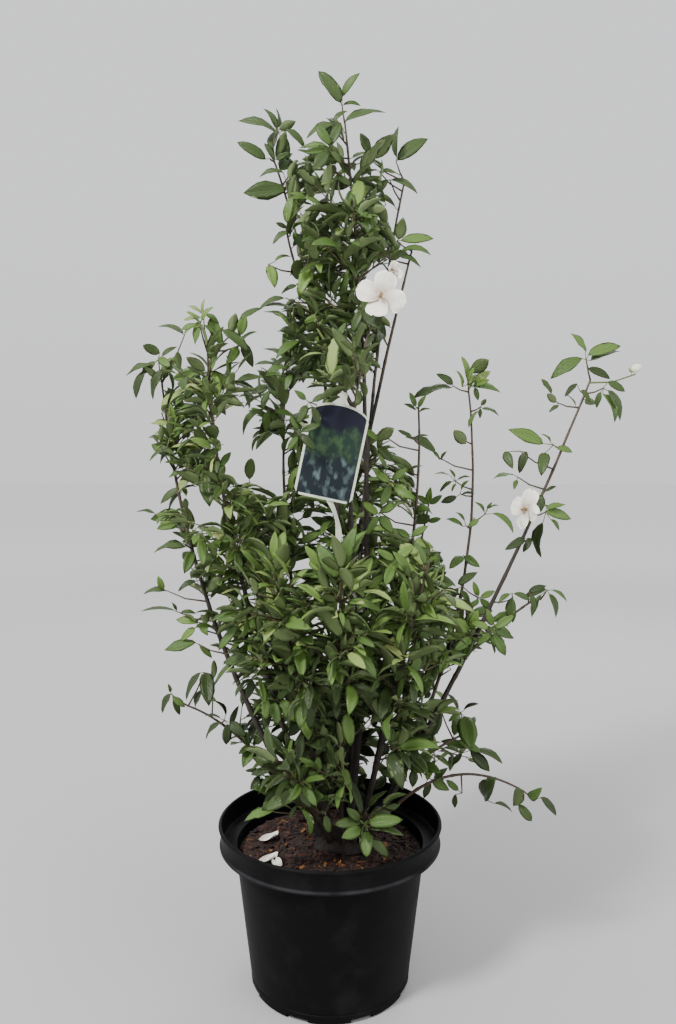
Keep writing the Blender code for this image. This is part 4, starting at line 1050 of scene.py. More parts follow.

# Sprays seen from the front, in millimetres. Three numbers say where a spray joins. Six stand for a
# leaf: its base and its tip across and up from there, half its width as a share of its length in
# per cent, and its green from deep to fresh, partly its own green and partly painted light and shade as it
# was lit; the sprays low in the shade are all the deepest green.
SEEN_SPRAYS = {
    "leader": [
        (13, -20, 953), (-1, 2, -25, 35, 19, 1), (0, 8, 19, 33, 13, 2), (1, 0, 20, -1, 12, 1),
        (15, -20, 935), (1, 1, 45, 10, 8, 1), (5, -40, 923), (0, 2, -29, -13, 11, 1), (-1, 3, 14, 15, 14, 1),
        (0, -1, -13, -15, 24, 1), (1, -46, 899), (1, 2, 11, 25, 22, 1), (0, 2, -14, 23, 24, 2),
        (-1, -1, -27, -5, 20, 2), (0, -2, 11, -17, 18, 1), (-2, -4, -19, -24, 25, 1), (27, -30, 862),
        (5, 10, 1, -18, 28, 4), (-4, 0, -11, -23, 20, 2), (-4, 4, -20, 14, 20, 1), (42, -30, 839),
        (-4, 1, 17, 4, 28, 4), (-4, -3, 2, -28, 24, 3),
    ],
    "leader_right": [
        (45, 10, 908), (1, 2, 25, 28, 25, 1), (-1, 6, -12, 29, 22, 1), (3, 0, 14, -16, 12, 1), (74, 35, 916),
        (1, 1, 36, 25, 19, 1), (1, 4, 3, 39, 10, 1), (54, 0, 891), (0, 2, 25, -5, 7, 1),
        (-1, 2, -28, -7, 8, 1), (65, 5, 885), (1, 0, 31, -16, 10, 1), (-1, 0, -21, -17, 18, 1),
    ],
    "leader_left": [
        (-58, 30, 945), (-2, 0, -45, 13, 9, 1), (-1, 4, -17, 27, 14, 1), (0, 6, -3, 28, 10, 1),
        (1, 4, 20, 13, 26, 1), (7, 4, 30, -17, 13, 1), (4, -3, 11, -30, 22, 1), (-67, 22, 914),
        (-4, -1, -36, 18, 17, 1), (5, -1, -6, 17, 18, 1), (7, -1, 23, 7, 20, 1), (-48, 26, 888),
        (0, -6, -49, -10, 20, 1), (-3, 12, -31, 7, 9, 1), (3, 4, 10, 26, 25, 1), (-38, 24, 864),
        (-2, 0, -7, -25, 22, 1), (1, 3, 18, 17, 20, 1),
    ],
    "leader_low_left": [
        (-41, -15, 825), (0, -1, -20, -15, 12, 1), (-4, 2, -17, 8, 18, 0), (2, -2, 15, -21, 22, 2),
        (-66, -15, 789), (1, -1, 7, -25, 26, 4), (7, 3, 25, 8, 8, 2), (-26, -12, 788),
        (0, -1, -17, -11, 12, 1), (2, -2, 11, -23, 20, 2), (-36, -2, 772), (0, -2, -17, -12, 15, 1),
        (1, -3, 12, -20, 25, 2), (-49, 10, 759), (-1, 0, -30, -14, 10, 1), (-42, 6, 744),
        (0, 2, -33, 4, 6, 1), (-2, -11, -33, -1, 7, 1), (-20, -82, 637), (3, 0, 21, 8, 16, 1),
        (-2, -3, -12, -22, 22, 1), (3, -4, 9, -28, 20, 0), (-3, 2, -15, 12, 20, 2), (-30, -84, 607),
        (2, 1, 22, 8, 20, 1), (2, -2, 17, -18, 22, 0), (-1, 2, -9, 16, 20, 2), (-1, -4, -12, -18, 20, 2),
        (-26, -8, 730), (-2, -3, 25, 4, 28, 4), (-2, 2, -9, 20, 20, 1), (-4, -5, -21, -18, 24, 2),
    ],
    "leader_low_right": [
        (72, -8, 816), (4, 0, 40, 2, 15, 3), (2, 1, 7, 25, 27, 3), (72, -12, 800), (2, 2, 37, -1, 8, 2),
        (0, -1, 26, -14, 10, 1), (53, -22, 799), (0, -1, -20, -11, 18, 1), (5, 3, -1, 20, 26, 2),
    ],
    "leader_front": [
        (35, -72, 731), (0, 0, 18, -22, 33, 0), (-2, -1, -12, -25, 20, 1), (-4, 3, -15, 14, 20, 0),
        (23, -70, 694), (0, 0, 14, -20, 20, 1), (-2, 2, -16, -6, 22, 3), (-1, -2, -7, -28, 22, 4),
        (16, -66, 675), (-1, 0, -17, -12, 20, 2), (1, -2, 12, -22, 18, 1), (8, -86, 694),
        (-1, 7, -5, -34, 16, 5), (1, 3, 9, 21, 18, 2),
    ],
    "left_inner": [
        (-133, -30, 731), (-1, 3, -17, 11, 12, 5), (0, 4, 2, 19, 12, 5), (-3, -1, -21, -4, 15, 5),
        (-2, -4, -11, -22, 15, 4), (2, 3, 17, -8, 16, 2), (-136, -36, 722), (-1, 2, -14, 13, 14, 4),
        (2, 4, 15, 18, 14, 4), (-2, -1, -21, -7, 14, 3), (5, -1, 18, -12, 16, 2), (0, -3, -5, -22, 16, 3),
        (-121, -32, 715), (-5, 14, 8, -15, 22, 3), (8, 2, 37, -22, 15, 1), (2, -3, -8, -19, 20, 3),
        (-102, -20, 717), (-4, -3, 2, 20, 26, 3), (5, 10, 30, 25, 11, 1), (6, -4, 12, 19, 24, 3),
        (-95, -20, 703), (2, 3, 13, -24, 20, 0), (-1, 1, 18, 14, 8, 1), (-3, -2, -14, -20, 28, 3),
        (-136, -22, 675), (0, 0, -32, -8, 24, 3), (-3, -3, -19, -31, 22, 1), (3, -1, 32, -19, 18, 3),
        (2, -4, 11, -27, 25, 3), (-100, -24, 663), (0, 0, 32, 4, 12, 1), (2, -4, 14, -29, 7, 1),
        (-2, -2, -11, -21, 16, 2), (-115, -28, 568), (0, -3, 13, -16, 20, 1), (-2, -7, -20, -18, 22, 2),
        (-1, 4, 10, 21, 20, 2), (-132, -30, 574), (1, -2, 4, -44, 27, 1), (-2, 2, -17, -14, 22, 3),
        (-1, 4, 17, 20, 20, 2),
    ],
    "left_outer": [
        (-176, 0, 603), (-1, 2, -13, 17, 14, 4), (1, 3, 5, 22, 14, 4), (-2, -1, -24, 2, 12, 3),
        (-2, -5, -18, -13, 12, 3), (2, -5, 15, -18, 16, 2), (3, 2, 20, 13, 16, 3), (-162, 4, 570),
        (-1, 2, -15, 13, 15, 3), (3, 2, 16, 15, 16, 3), (-1, -2, -17, -9, 14, 2), (3, -2, 18, -11, 18, 2),
        (-189, 6, 691), (2, 7, -17, 16, 28, 3), (-3, -2, -19, -17, 20, 2), (4, 4, 21, 14, 15, 1),
        (0, 2, 14, -8, 28, 3), (-6, -6, -36, -18, 8, 1), (-15, -12, -25, -43, 14, 0), (-179, 0, 681),
        (-4, -1, -15, -35, 13, 0), (0, -2, 6, -26, 10, 1), (-158, -4, 716), (-1, 1, -30, 9, 9, 1),
        (0, 1, 13, 13, 14, 4), (-173, 6, 641), (-2, 2, -12, 18, 12, 1), (0, -1, 14, 10, 15, 3),
        (-170, 2, 618), (-1, 1, -6, 25, 20, 4), (2, 2, 16, 21, 18, 4), (0, -2, -28, 2, 11, 5),
        (3, -2, 36, 5, 15, 2), (-167, 4, 597), (-3, 1, -30, -1, 22, 3), (-1, -1, -33, -18, 10, 1),
        (-1, -3, -21, -21, 11, 1), (2, -1, 22, 8, 20, 3), (-1, 5, -16, 16, 20, 3), (-145, -6, 578),
        (-1, 0, -29, -2, 14, 1), (1, 3, 23, 15, 20, 2), (-166, 8, 550), (-1, 0, -23, -18, 15, 1),
        (1, -5, -14, -27, 8, 1), (3, -1, 18, 1, 10, 1), (-160, 6, 519), (-5, 2, -40, -4, 22, 3),
        (-5, -3, -33, -15, 25, 3), (-34, 2, -56, 4, 8, 1), (2, -1, -13, -9, 20, 2), (-156, 6, 486),
        (-5, -2, -41, -9, 13, 1), (0, 4, -20, 15, 12, 1), (2, -1, 26, 12, 20, 2), (3, -7, -7, -32, 28, 2),
        (-138, 2, 474), (-2, -1, 20, -13, 26, 2), (11, 5, 49, -1, 6, 1), (3, 7, 18, 20, 18, 2),
        (-145, 6, 447), (-4, -1, -25, -13, 14, 0), (4, -2, 35, -13, 24, 1), (3, 3, 29, 10, 12, 1),
        (-182, 6, 435), (-1, 0, -27, -4, 12, 1), (-5, 1, -10, 17, 25, 4), (-171, 8, 411),
        (-2, 1, -42, 0, 5, 1), (-1, 1, -7, 11, 15, 0), (3, -1, 21, -2, 15, 1), (-149, 8, 396),
        (1, 3, -24, 6, 20, 4), (-2, -3, -19, -18, 20, 4), (3, 3, 12, -12, 28, 3), (-148, 10, 374),
        (-3, 2, -39, -7, 17, 2), (1, -2, 15, -16, 20, 2),
    ],
    "left_mid": [
        (-48, 52, 695), (1, 1, 37, 10, 24, 1), (-1, 0, -31, 15, 8, 1), (-6, -9, -41, -4, 7, 1),
        (-7, -12, -9, -32, 22, 2), (-44, 50, 727), (-4, 3, -11, -16, 25, 2), (0, 7, 14, -9, 24, 2),
        (-3, 9, -5, 29, 20, 1), (-70, 46, 660), (0, 2, -9, -23, 15, 2), (-2, 4, -23, -3, 18, 1),
        (-72, 40, 639), (-6, 1, -28, -30, 11, 2), (3, -3, 18, -36, 17, 2), (0, -2, -2, -26, 25, 3),
        (7, -3, 34, -12, 14, 3),
    ],
    "low_left": [
        (-178, 10, 316), (-2, 2, -12, -21, 15, 0), (0, -2, 14, -14, 24, 2), (0, -6, 8, -23, 20, 1),
        (-2, 3, -5, 13, 20, 2), (-142, 10, 342), (-4, 0, -21, -32, 10, 0), (2, 0, 5, -39, 26, 0),
        (-2, -20, -10, -42, 14, 0), (-88, 8, 258), (0, 0, -11, -25, 28, 2), (-3, 1, -16, -9, 25, 1),
        (2, -2, 12, -25, 26, 1), (-5, -2, -7, 18, 20, 2), (4, 2, 15, 18, 22, 0), (-80, 12, 224),
        (0, -2, -11, -18, 25, 0), (2, -4, 7, -26, 25, 0), (5, -2, 23, -14, 20, 0), (0, 3, -17, 4, 20, 0),
        (3, 5, 16, 21, 22, 0), (-119, 4, 289), (-3, -2, -21, -22, 10, 0), (-4, 2, -22, 5, 7, 0),
        (6, -2, 25, -20, 26, 0), (4, -4, 2, -28, 24, 0), (2, 5, -13, 23, 10, 0),
    ],
    "right_thin": [
        (159, 48, 669), (-1, 5, -8, 32, 13, 4), (2, 13, 24, 28, 30, 4), (0, 2, 8, 20, 15, 4),
        (5, 2, 26, 15, 22, 5), (7, 0, 25, 5, 28, 4), (5, -2, 38, -10, 12, 2), (8, -4, 12, -19, 22, 1),
        (-7, -4, -14, 16, 10, 4), (142, 50, 667), (0, 2, -20, 14, 20, 1), (-1, -2, -47, -15, 10, 1),
        (174, 47, 643), (0, 1, 6, 9, 30, 0), (1, -2, 21, -11, 10, 1), (-1, -2, -1, -14, 20, 1),
        (-3, -5, -14, -25, 12, 3), (155, 48, 605), (2, -5, -12, 11, 32, 1), (126, 44, 584),
        (0, -3, -9, 8, 14, 2), (2, -3, 9, 8, 14, 2), (-4, 4, -41, 24, 12, 1), (145, 48, 557),
        (0, 4, -7, 14, 15, 2), (-4, 0, -18, -13, 15, 2), (3, 2, 18, 5, 10, 1), (-6, 7, -25, 8, 6, 2),
        (1, -3, -4, -13, 18, 3), (151, 48, 542), (-4, -3, -23, -10, 22, 0), (2, 0, 17, 0, 12, 0),
        (1, 5, 10, 16, 15, 3), (158, 46, 505), (-2, 5, -13, 16, 12, 2), (-4, -1, -24, 8, 14, 3),
        (2, -1, 15, 8, 24, 4), (179, 42, 519), (8, 1, 33, -23, 11, 3), (-1, 1, -13, 14, 12, 2),
        (2, 6, 8, 14, 20, 2), (3, 6, 16, 10, 10, 2), (155, 44, 471), (1, -1, 19, -14, 25, 2),
        (-1, -1, -17, -16, 25, 2),
    ],
    "right_outer": [
        (280, 0, 690), (0, 8, -18, 29, 12, 3), (2, 5, 38, 15, 18, 3), (5, -1, 38, 9, 12, 1),
        (-4, 2, -39, -21, 18, 2), (2, -9, 27, -21, 18, 0), (275, 2, 656), (-4, 9, -17, -6, 16, 0),
        (2, 2, 11, -12, 18, 1), (298, -4, 659), (5, 7, 24, -4, 20, 1), (5, -2, 19, -36, 12, 1),
        (-1, -6, 13, -38, 12, 2), (-3, -4, -7, -22, 20, 1), (250, 4, 644), (-6, 10, -18, 26, 15, 1),
        (-1, 0, -11, 10, 30, 1), (2, -3, -9, -11, 18, 1), (244, -6, 597), (-11, 1, -50, 17, 18, 3),
        (3, -3, 21, -8, 20, 3), (-3, 3, -14, 12, 10, 2), (-9, -8, -13, -34, 28, 1), (207, -10, 590),
        (-17, 0, -8, -19, 25, 1), (7, 0, -1, -24, 20, 0), (205, -8, 562), (-3, 2, -27, -2, 8, 2),
        (-1, -3, -4, -14, 25, 2), (234, -2, 543), (-2, 0, -3, -21, 25, 0), (3, 3, 15, 9, 15, 1),
        (236, -8, 524), (0, 1, 28, -8, 20, 3), (0, 4, 22, 8, 15, 3), (5, -8, 15, -21, 14, 2),
        (-3, -11, -4, -51, 14, 0), (219, -6, 495), (-5, 0, -27, -13, 22, 0), (2, 0, -7, -16, 22, 0),
        (200, 0, 426), (1, -3, 3, -26, 22, 1),
    ],
    "centre_right": [
        (96, 10, 639), (-1, 1, -8, 17, 20, 2), (2, 0, 11, 14, 18, 3), (-1, -3, -15, 4, 14, 1),
        (3, -5, 16, -2, 12, 1), (92, 10, 605), (-1, 0, -17, 9, 16, 1), (1, -2, 18, 3, 10, 2), (87, 8, 570),
        (-2, 0, -19, 6, 10, 2), (1, -1, 17, 4, 10, 1), (-3, -5, -16, -11, 20, 3), (57, -34, 606),
        (-8, -5, 11, 8, 28, 4), (-6, -11, 11, -28, 24, 1), (-6, -5, -21, 8, 20, 3), (66, -30, 557),
        (0, 2, 17, 15, 20, 3), (2, -4, 26, -19, 25, 3), (-2, 0, -19, 11, 22, 4), (-2, -4, -12, -26, 25, 2),
        (53, -36, 525), (0, 0, 19, 9, 22, 3), (-2, -2, -19, 11, 24, 4), (0, -4, 15, -23, 24, 2),
        (-2, -4, -15, -25, 20, 3), (88, -24, 499), (0, 0, 18, 11, 20, 3), (3, -5, 24, -13, 22, 4),
        (-2, -2, -17, 8, 24, 2),
    ],
    "front_right": [
        (67, -84, 479), (0, 2, 18, 15, 24, 4), (2, -2, 22, -14, 26, 4), (-2, 0, -20, 11, 22, 3),
        (-2, -4, -12, -26, 26, 3), (39, -90, 450), (0, 2, 16, 16, 22, 4), (-2, -2, -22, 8, 20, 3),
        (0, -4, 10, -28, 26, 2), (92, -76, 438), (0, 2, 20, 10, 20, 3), (0, -2, 18, -19, 26, 3),
        (-2, 0, -20, 6, 18, 4),
    ],
    "front_left": [
        (-56, -62, 331), (-10, 2, -10, -21, 28, 3), (-2, -2, 2, -27, 26, 2), (7, 1, 19, -23, 28, 3),
        (2, 2, 17, 13, 20, 2), (-6, 4, -22, 11, 22, 2), (-25, -56, 308), (0, 0, 3, -22, 30, 3),
        (-3, -2, -19, -17, 24, 0), (3, 0, 19, -11, 20, 0), (-36, -46, 262), (1, -2, 2, -26, 20, 3),
        (-3, 0, -21, -11, 22, 0), (3, 2, 18, 11, 20, 0), (-4, 4, -21, 13, 24, 1),
    ],
    "front_centre": [
        (16, -70, 321), (1, 0, 6, -36, 21, 3), (-2, 2, -20, -4, 22, 0), (3, 4, 20, 12, 24, 2),
        (15, -100, 481), (0, 2, -14, 18, 24, 2), (2, 2, 15, 16, 20, 3), (0, -2, -16, -16, 24, 4),
    ],
    "right_side": [
        (200, -8, 434), (0, -4, -3, -30, 22, 1), (2, 0, 20, -7, 18, 1), (-2, 0, -15, -12, 18, 2),
        (221, 4, 434), (0, 0, 20, 7, 20, 0), (2, -2, 7, -23, 16, 1), (246, 20, 434), (-1, 1, -26, -8, 18, 0),
        (2, -4, 10, -32, 13, 1), (5, 0, 23, -14, 10, 2), (-6, -5, -17, -32, 12, 2),
    ],
    "mid_right": [
        (170, 20, 425), (0, 0, 17, 8, 22, 3), (0, -1, 13, -13, 24, 2), (-2, 2, -8, 19, 22, 3),
        (-1, -3, -13, -11, 24, 2), (152, -24, 392), (-1, 3, -24, 19, 26, 4), (0, 5, 8, 27, 24, 4),
        (1, -3, -18, -18, 26, 3), (-5, 0, -30, -3, 22, 4), (3, -4, -7, -28, 20, 2), (175, -26, 397),
        (3, 2, 24, 17, 22, 3), (3, 0, 24, -9, 20, 1), (0, 5, -6, 24, 22, 3), (-2, -3, -17, -16, 24, 3),
        (2, -4, 15, -28, 22, 2), (-4, 2, -24, 9, 22, 4), (126, -24, 373), (-1, 2, -18, 15, 26, 3),
        (1, -2, -7, -24, 28, 3), (3, 2, 20, -6, 22, 2), (-3, -1, -21, -9, 22, 2), (185, 12, 390),
        (-1, 9, 20, 20, 20, 3), (-3, 4, 19, -5, 22, 2), (-5, -5, 12, -25, 22, 3), (151, 30, 437),
        (-5, 2, 18, 16, 20, 1), (-4, -2, -14, -21, 20, 1), (-2, -5, 9, -21, 20, 2),
    ],
    "right_low": [
        (94, -4, 242), (-7, 0, -20, 13, 20, 0), (-5, -2, 15, -9, 30, 2), (11, 0, 30, -10, 28, 2),
        (-9, -7, -20, -27, 25, 1), (0, -5, -2, -27, 24, 0), (4, 4, 22, 18, 22, 1), (114, -2, 223),
        (0, 0, 20, -12, 24, 3), (-2, -2, -9, -21, 22, 0), (2, 2, 18, 14, 20, 1), (83, 2, 262),
        (0, -2, 13, 10, 22, 0), (-2, 0, -16, 14, 24, 0), (2, -4, 18, -11, 22, 1), (149, 20, 293),
        (-3, 2, -16, 22, 12, 0), (3, 2, 21, 10, 12, 0), (4, -4, 13, -43, 30, 2), (-3, -2, -14, -11, 20, 3),
        (125, 18, 300), (0, -1, -12, -38, 22, 0), (2, 3, 11, 19, 16, 0), (160, 20, 249),
        (0, 0, 23, -25, 20, 0), (5, 0, 38, -16, 12, 1), (-4, 5, -34, 11, 20, 2), (-9, -3, -20, -18, 20, 0),
    ],
    "low_right": [
        (202, -20, 202), (-1, -1, 6, 20, 32, 1), (5, 1, 20, -18, 24, 1), (226, -20, 209),
        (-7, 0, 7, 13, 32, 2), (5, 2, 23, -19, 15, 0), (170, -18, 208), (0, 1, 13, 25, 34, 0),
        (11, -5, 31, -15, 10, 1), (146, -14, 213), (-4, 3, -18, 15, 22, 2), (-7, -1, -8, -17, 20, 0),
    ],
    "low_back": [
        (-1, 70, 217), (0, 2, -22, 17, 30, 0), (0, -3, -19, -20, 30, 0), (3, 2, 17, 22, 30, 0),
        (3, -3, 24, -15, 30, 0), (0, 5, -2, 29, 30, 0), (31, 84, 234), (0, 3, -20, 20, 30, 0),
        (2, 3, 22, 20, 30, 0), (0, -2, -17, -22, 30, 0), (2, -2, 24, -15, 30, 0), (1, 5, 2, 30, 30, 0),
        (-15, 52, 182), (0, 3, -21, 12, 30, 0), (0, -2, -19, -12, 30, 0), (2, 3, 19, 17, 30, 0),
        (2, -2, 21, -12, 30, 0), (25, 52, 190), (0, 2, -14, 19, 30, 0), (0, -3, -14, -20, 30, 0),
        (3, 2, 19, 19, 30, 0), (3, -3, 22, -17, 30, 0),
    ],
    "back_left": [
        (-41, 42, 241), (0, 3, -18, 15, 30, 0), (0, -2, -16, -19, 30, 0), (3, 3, 19, 20, 30, 0),
        (3, -2, 22, -16, 30, 0), (-62, 40, 211), (0, 3, -18, 14, 28, 0), (0, -2, -16, -17, 28, 0),
        (3, 3, 19, 17, 28, 0), (3, -2, 21, -17, 28, 0), (-36, 46, 202), (0, 2, -17, 14, 28, 0),
        (2, 2, 19, 16, 28, 0), (0, -3, -14, -22, 28, 0),
    ],
    "back_right": [
        (118, 78, 529), (0, 0, -14, 11, 24, 3), (1, 0, 16, 11, 24, 2), (0, 1, 2, 21, 22, 4),
        (-1, -3, -13, -11, 24, 2), (116, 78, 508), (0, 0, -16, 6, 24, 3), (1, 0, 17, 4, 24, 3),
        (68, 46, 250), (0, 2, -17, 19, 30, 0), (2, 2, 16, 21, 30, 0), (0, -3, -17, -20, 30, 0),
        (2, -3, 23, -12, 30, 0), (65, 40, 214), (0, 2, -16, 14, 28, 0), (2, 2, 19, 14, 28, 0),
        (0, -3, -14, -20, 28, 0), (3, -3, 21, -15, 28, 0), (111, 56, 273), (0, 2, -14, 19, 26, 0),
        (3, 2, 19, 17, 24, 0), (0, -3, -14, -20, 26, 0), (3, -3, 17, -17, 22, 0),
    ],
    "rim_shoot": [
        (37, -88, 211), (2, 2, 38, 5, 20, 2), (4, -5, 39, -12, 10, 1), (0, -6, 1, -35, 26, 2),
        (4, -16, 24, -35, 20, 1), (-4, 2, -33, 0, 20, 1), (-4, -4, -25, -14, 28, 2), (-6, 4, -20, 18, 25, 1),
    ],
    "low_front": [
        (-36, -74, 249), (-3, -2, -34, -30, 26, 1), (-5, 2, -29, -4, 22, 0), (2, -2, 4, -27, 24, 0),
        (4, 2, 20, -8, 20, 0), (-12, -52, 262), (0, 6, 0, -13, 24, 2), (2, -2, 17, -15, 22, 0),
        (-3, -2, -15, -17, 22, 0), (-32, -88, 246), (-1, 1, -35, -21, 20, 1), (2, -2, 14, -18, 20, 0),
        (-55, -84, 222), (-1, 1, -32, -10, 14, 3), (-29, -88, 229), (0, -1, 10, -31, 12, 2),
        (-3, 1, -11, -14, 15, 1), (-4, -90, 225), (0, -3, 4, -23, 22, 1),
    ],
}
OUTLINE_FROM = np.array([
    (-13, 949), (2, 955), (17, 951), (22, 934), (14, 919), (22, 902), (33, 904), (30, 925), (45, 934),
    (67, 930), (61, 913), (54, 899), (61, 888), (58, 872), (63, 857), (59, 841), (67, 823), (80, 823),
    (81, 806), (72, 796), (61, 791), (44, 787), (31, 766), (33, 750), (42, 744), (59, 738), (59, 712),
    (50, 699), (46, 683), (37, 668), (42, 646), (51, 620), (68, 614), (75, 590), (81, 570), (95, 548),
    (93, 530), (73, 523), (80, 504), (100, 495), (122, 481), (131, 457), (142, 437), (155, 419),
    (189, 412), (202, 401), (200, 372), (180, 361), (165, 367), (156, 353), (132, 345), (118, 324),
    (123, 313), (147, 313), (163, 300), (166, 268), (179, 249), (164, 240), (141, 245), (132, 227),
    (137, 206), (123, 215), (101, 215), (83, 199), (76, 185), (67, 176), (45, 185), (17, 192), (0, 176),
    (-14, 169), (-27, 179), (-43, 185), (-65, 192), (-83, 201), (-88, 215), (-97, 234), (-104, 254),
    (-117, 265), (-119, 288), (-107, 306), (-116, 324), (-130, 313), (-141, 313), (-148, 327), (-145, 349),
    (-149, 364), (-140, 381), (-147, 394), (-162, 396), (-165, 410), (-149, 419), (-138, 426), (-140, 437),
    (-158, 437), (-164, 450), (-155, 461), (-164, 472), (-164, 488), (-170, 506), (-188, 504), (-197, 517),
    (-183, 528), (-163, 528), (-165, 552), (-174, 570), (-198, 590), (-196, 614), (-189, 638), (-180, 653),
    (-188, 670), (-206, 675), (-212, 690), (-201, 705), (-179, 701), (-159, 709), (-159, 731), (-153, 750),
    (-133, 753), (-120, 735), (-107, 742), (-89, 735), (-81, 718), (-63, 718), (-50, 735), (-65, 742),
    (-54, 755), (-37, 759), (-33, 781), (-43, 789), (-35, 806), (-32, 819), (-48, 832), (-43, 857),
    (-47, 883), (-56, 904), (-73, 913), (-67, 938), (-58, 949), (-36, 947), (-32, 925), (-26, 942),
], float)
OUTLINE_TO = np.roll(OUTLINE_FROM, -1, axis=0)
SKY_GAPS = np.array([
    (25, 915, 10, 18), (-20, 849, 7, 8), (8, 865, 7, 7), (-142, 705, 12, 14), (-92, 677, 10, 12),
    (-68, 706, 17, 15), (-101, 596, 14, 46), (-62, 574, 20, 33), (-135, 520, 21, 14), (-97, 439, 9, 13),
    (-126, 424, 12, 8), (-35, 646, 18, 13), (59, 664, 15, 42), (75, 515, 15, 10), (138, 327, 13, 13),
    (130, 279, 12, 10), (24, 949, 6, 6), (-121, 324, 9, 18), (-140, 423, 7, 9), (-47, 925, 6, 4),
    (-33, 464, 9, 11), (-22, 512, 15, 9), (-148, 537, 10, 13), (-181, 554, 13, 15), (-179, 537, 11, 13),
    (-119, 620, 6, 15), (-19, 917, 4, 7),
], float)
LOOSE_PATCHES = np.array([
    (296, 651, 14, 12), (261, 651, 9, 13), (250, 523, 13, 11), (164, 675, 11, 13), (234, 422, 10, 13),
    (141, 554, 10, 11), (280, 694, 9, 9), (226, 487, 9, 9), (-176, 313, 9, 10), (40, 165, 24, 15),
    (105, 523, 10, 13), (152, 512, 9, 8),
], float)
CANE_WINDOW = np.array([(40, 240, 21, 38)], float)


class Spaces:
    """The room that each mass of leaves may fill: within the reach of its own stem."""

    def __init__(self):
        places, reaches = [], []
        for name, curve in curves.items():
            start = curve.length * SHOOTS[name].bare
            steps = max(3, round((curve.length - start) / 0.012))
            for step in range(steps + 1):
                places.append(curve.at(start + (curve.length - start) * step / steps)[0])
                reaches.append(SHOOTS[name].reach * reach_share(step / steps))
        self.places, self.reaches = np.array(places), np.array(reaches)

    def depth(self, point):
        """0 on a stem, 1 at the edge of the room round it."""
        return float((np.linalg.norm(self.places - np.array(point), axis=1) / self.reaches).min())


def reach_share(share):
    """Leaves stand out furthest part of the way up a mass and close in towards its tip."""
    wave = math.sin(math.pi * (REACH_PHASE + share * (1 - REACH_PHASE)))
    return REACH_AT_START + (1 - REACH_AT_START) * wave


def in_ellipses(ellipses, x, z):
    """Whether a place lies in one of the ellipses, each given by its middle and its half axes."""
    return bool(((((ellipses[:, :2] - (x, z)) / ellipses[:, 2:]) ** 2).sum(axis=1) < 1).any())


def in_crown(point):
    """Whether a point stands within the crown's outline and clear of the gaps that show the sky."""
    share = -EYE.y / (point.y - EYE.y) * 1000
    x, z = (point.x - EYE.x) * share + EYE.x * 1000, (point.z - EYE.z) * share + EYE.z * 1000
    if point.y < WINDOW_DEPTH and in_ellipses(CANE_WINDOW, x, z):
        return False
    if in_ellipses(LOOSE_PATCHES, x, z):
        return True
    (x1, z1), (x2, z2) = OUTLINE_FROM.T, OUTLINE_TO.T
    crosses = (z1 > z) != (z2 > z)
    at = x1 + (z - z1) * (x2 - x1) / np.where(z2 == z1, 1.0, z2 - z1)
    return int((crosses & (at > x)).sum()) % 2 == 1 and not in_ellipses(SKY_GAPS, x, z)


class Taken:
    """What stands already, for telling whether a new leaf would touch it."""

    ROOM = 20000

    def __init__(self):
        self.middles, self.radii = np.zeros((self.ROOM, 3)), np.zeros(self.ROOM)
        self.trees = []

    def add(self, points, faces):
        index = len(self.trees)
        middle = np.mean(points, axis=0)
        self.middles[index] = middle
        self.radii[index] = np.linalg.norm(points - middle, axis=1).max()
        self.trees.append(BVHTree.FromPolygons(points.tolist(), faces, epsilon=0.0))

    def is_free(self, points, faces):
        count = len(self.trees)
        middle = np.mean(points, axis=0)
        radius = np.linalg.norm(points - middle, axis=1).max()
        apart = np.linalg.norm(self.middles[:count] - middle, axis=1)
        near = np.flatnonzero(apart < self.radii[:count] + radius)
        tree = BVHTree.FromPolygons(points.tolist(), faces, epsilon=0.0)
        return not any(tree.overlap(self.trees[index]) for index in near)


KITE_FACES = [(0, 1, 3), (0, 3, 2), (0, 2, 4), (0, 4, 1), (5, 3, 1), (5, 2, 3), (5, 4, 2), (5, 1, 4)]
PRISM_FACES = [(0, 1, 4, 3), (1, 2, 5, 4), (2, 0, 3, 5), (2, 1, 0), (3, 4, 5)]


def half_width(share):
    """A pointed oval's outline, widest a little below its middle."""
    return share**0.66 * (1 - share) ** 0.88 / 0.355


def blade_faces():
    """The faces of a blade: an upper side, and an underside that meets it along the edge."""
    rows, columns = len(BLADE_ROWS), len(BLADE_COLUMNS)
    upper = {(r, c): 2 + r * columns + c for r in range(rows) for c in range(columns)}
    first_under = 2 + rows * columns
    under = {}
    for r in range(rows):
        for c in range(columns):
            inner = 0 < c < columns - 1
            under[r, c] = first_under + r * (columns - 2) + c - 1 if inner else upper[r, c]
    faces, is_under = [], []
    for grid, flip in ((upper, False), (under, True)):
        for c in range(columns - 1):
            strip = [(0, grid[0, c + 1], grid[0, c]), (1, grid[rows - 1, c], grid[rows - 1, c + 1])]
            for r in range(rows - 1):
                strip.append((grid[r, c], grid[r, c + 1], grid[r + 1, c + 1], grid[r + 1, c]))
            for face in strip:
                faces.append(tuple(reversed(face)) if flip else face)
                is_under.append(flip)
    return faces, is_under


BLADE_FACES, BLADE_UNDER = blade_faces()
BLADE_UVS = [(0.5, 0.0), (0.5, 1.0)]
BLADE_UVS += [(c / 2 + 0.5, r) for r in BLADE_ROWS for c in BLADE_COLUMNS]
BLADE_UVS += [(c / 2 + 0.5, r) for r in BLADE_ROWS for c in BLADE_COLUMNS[1:-1]]


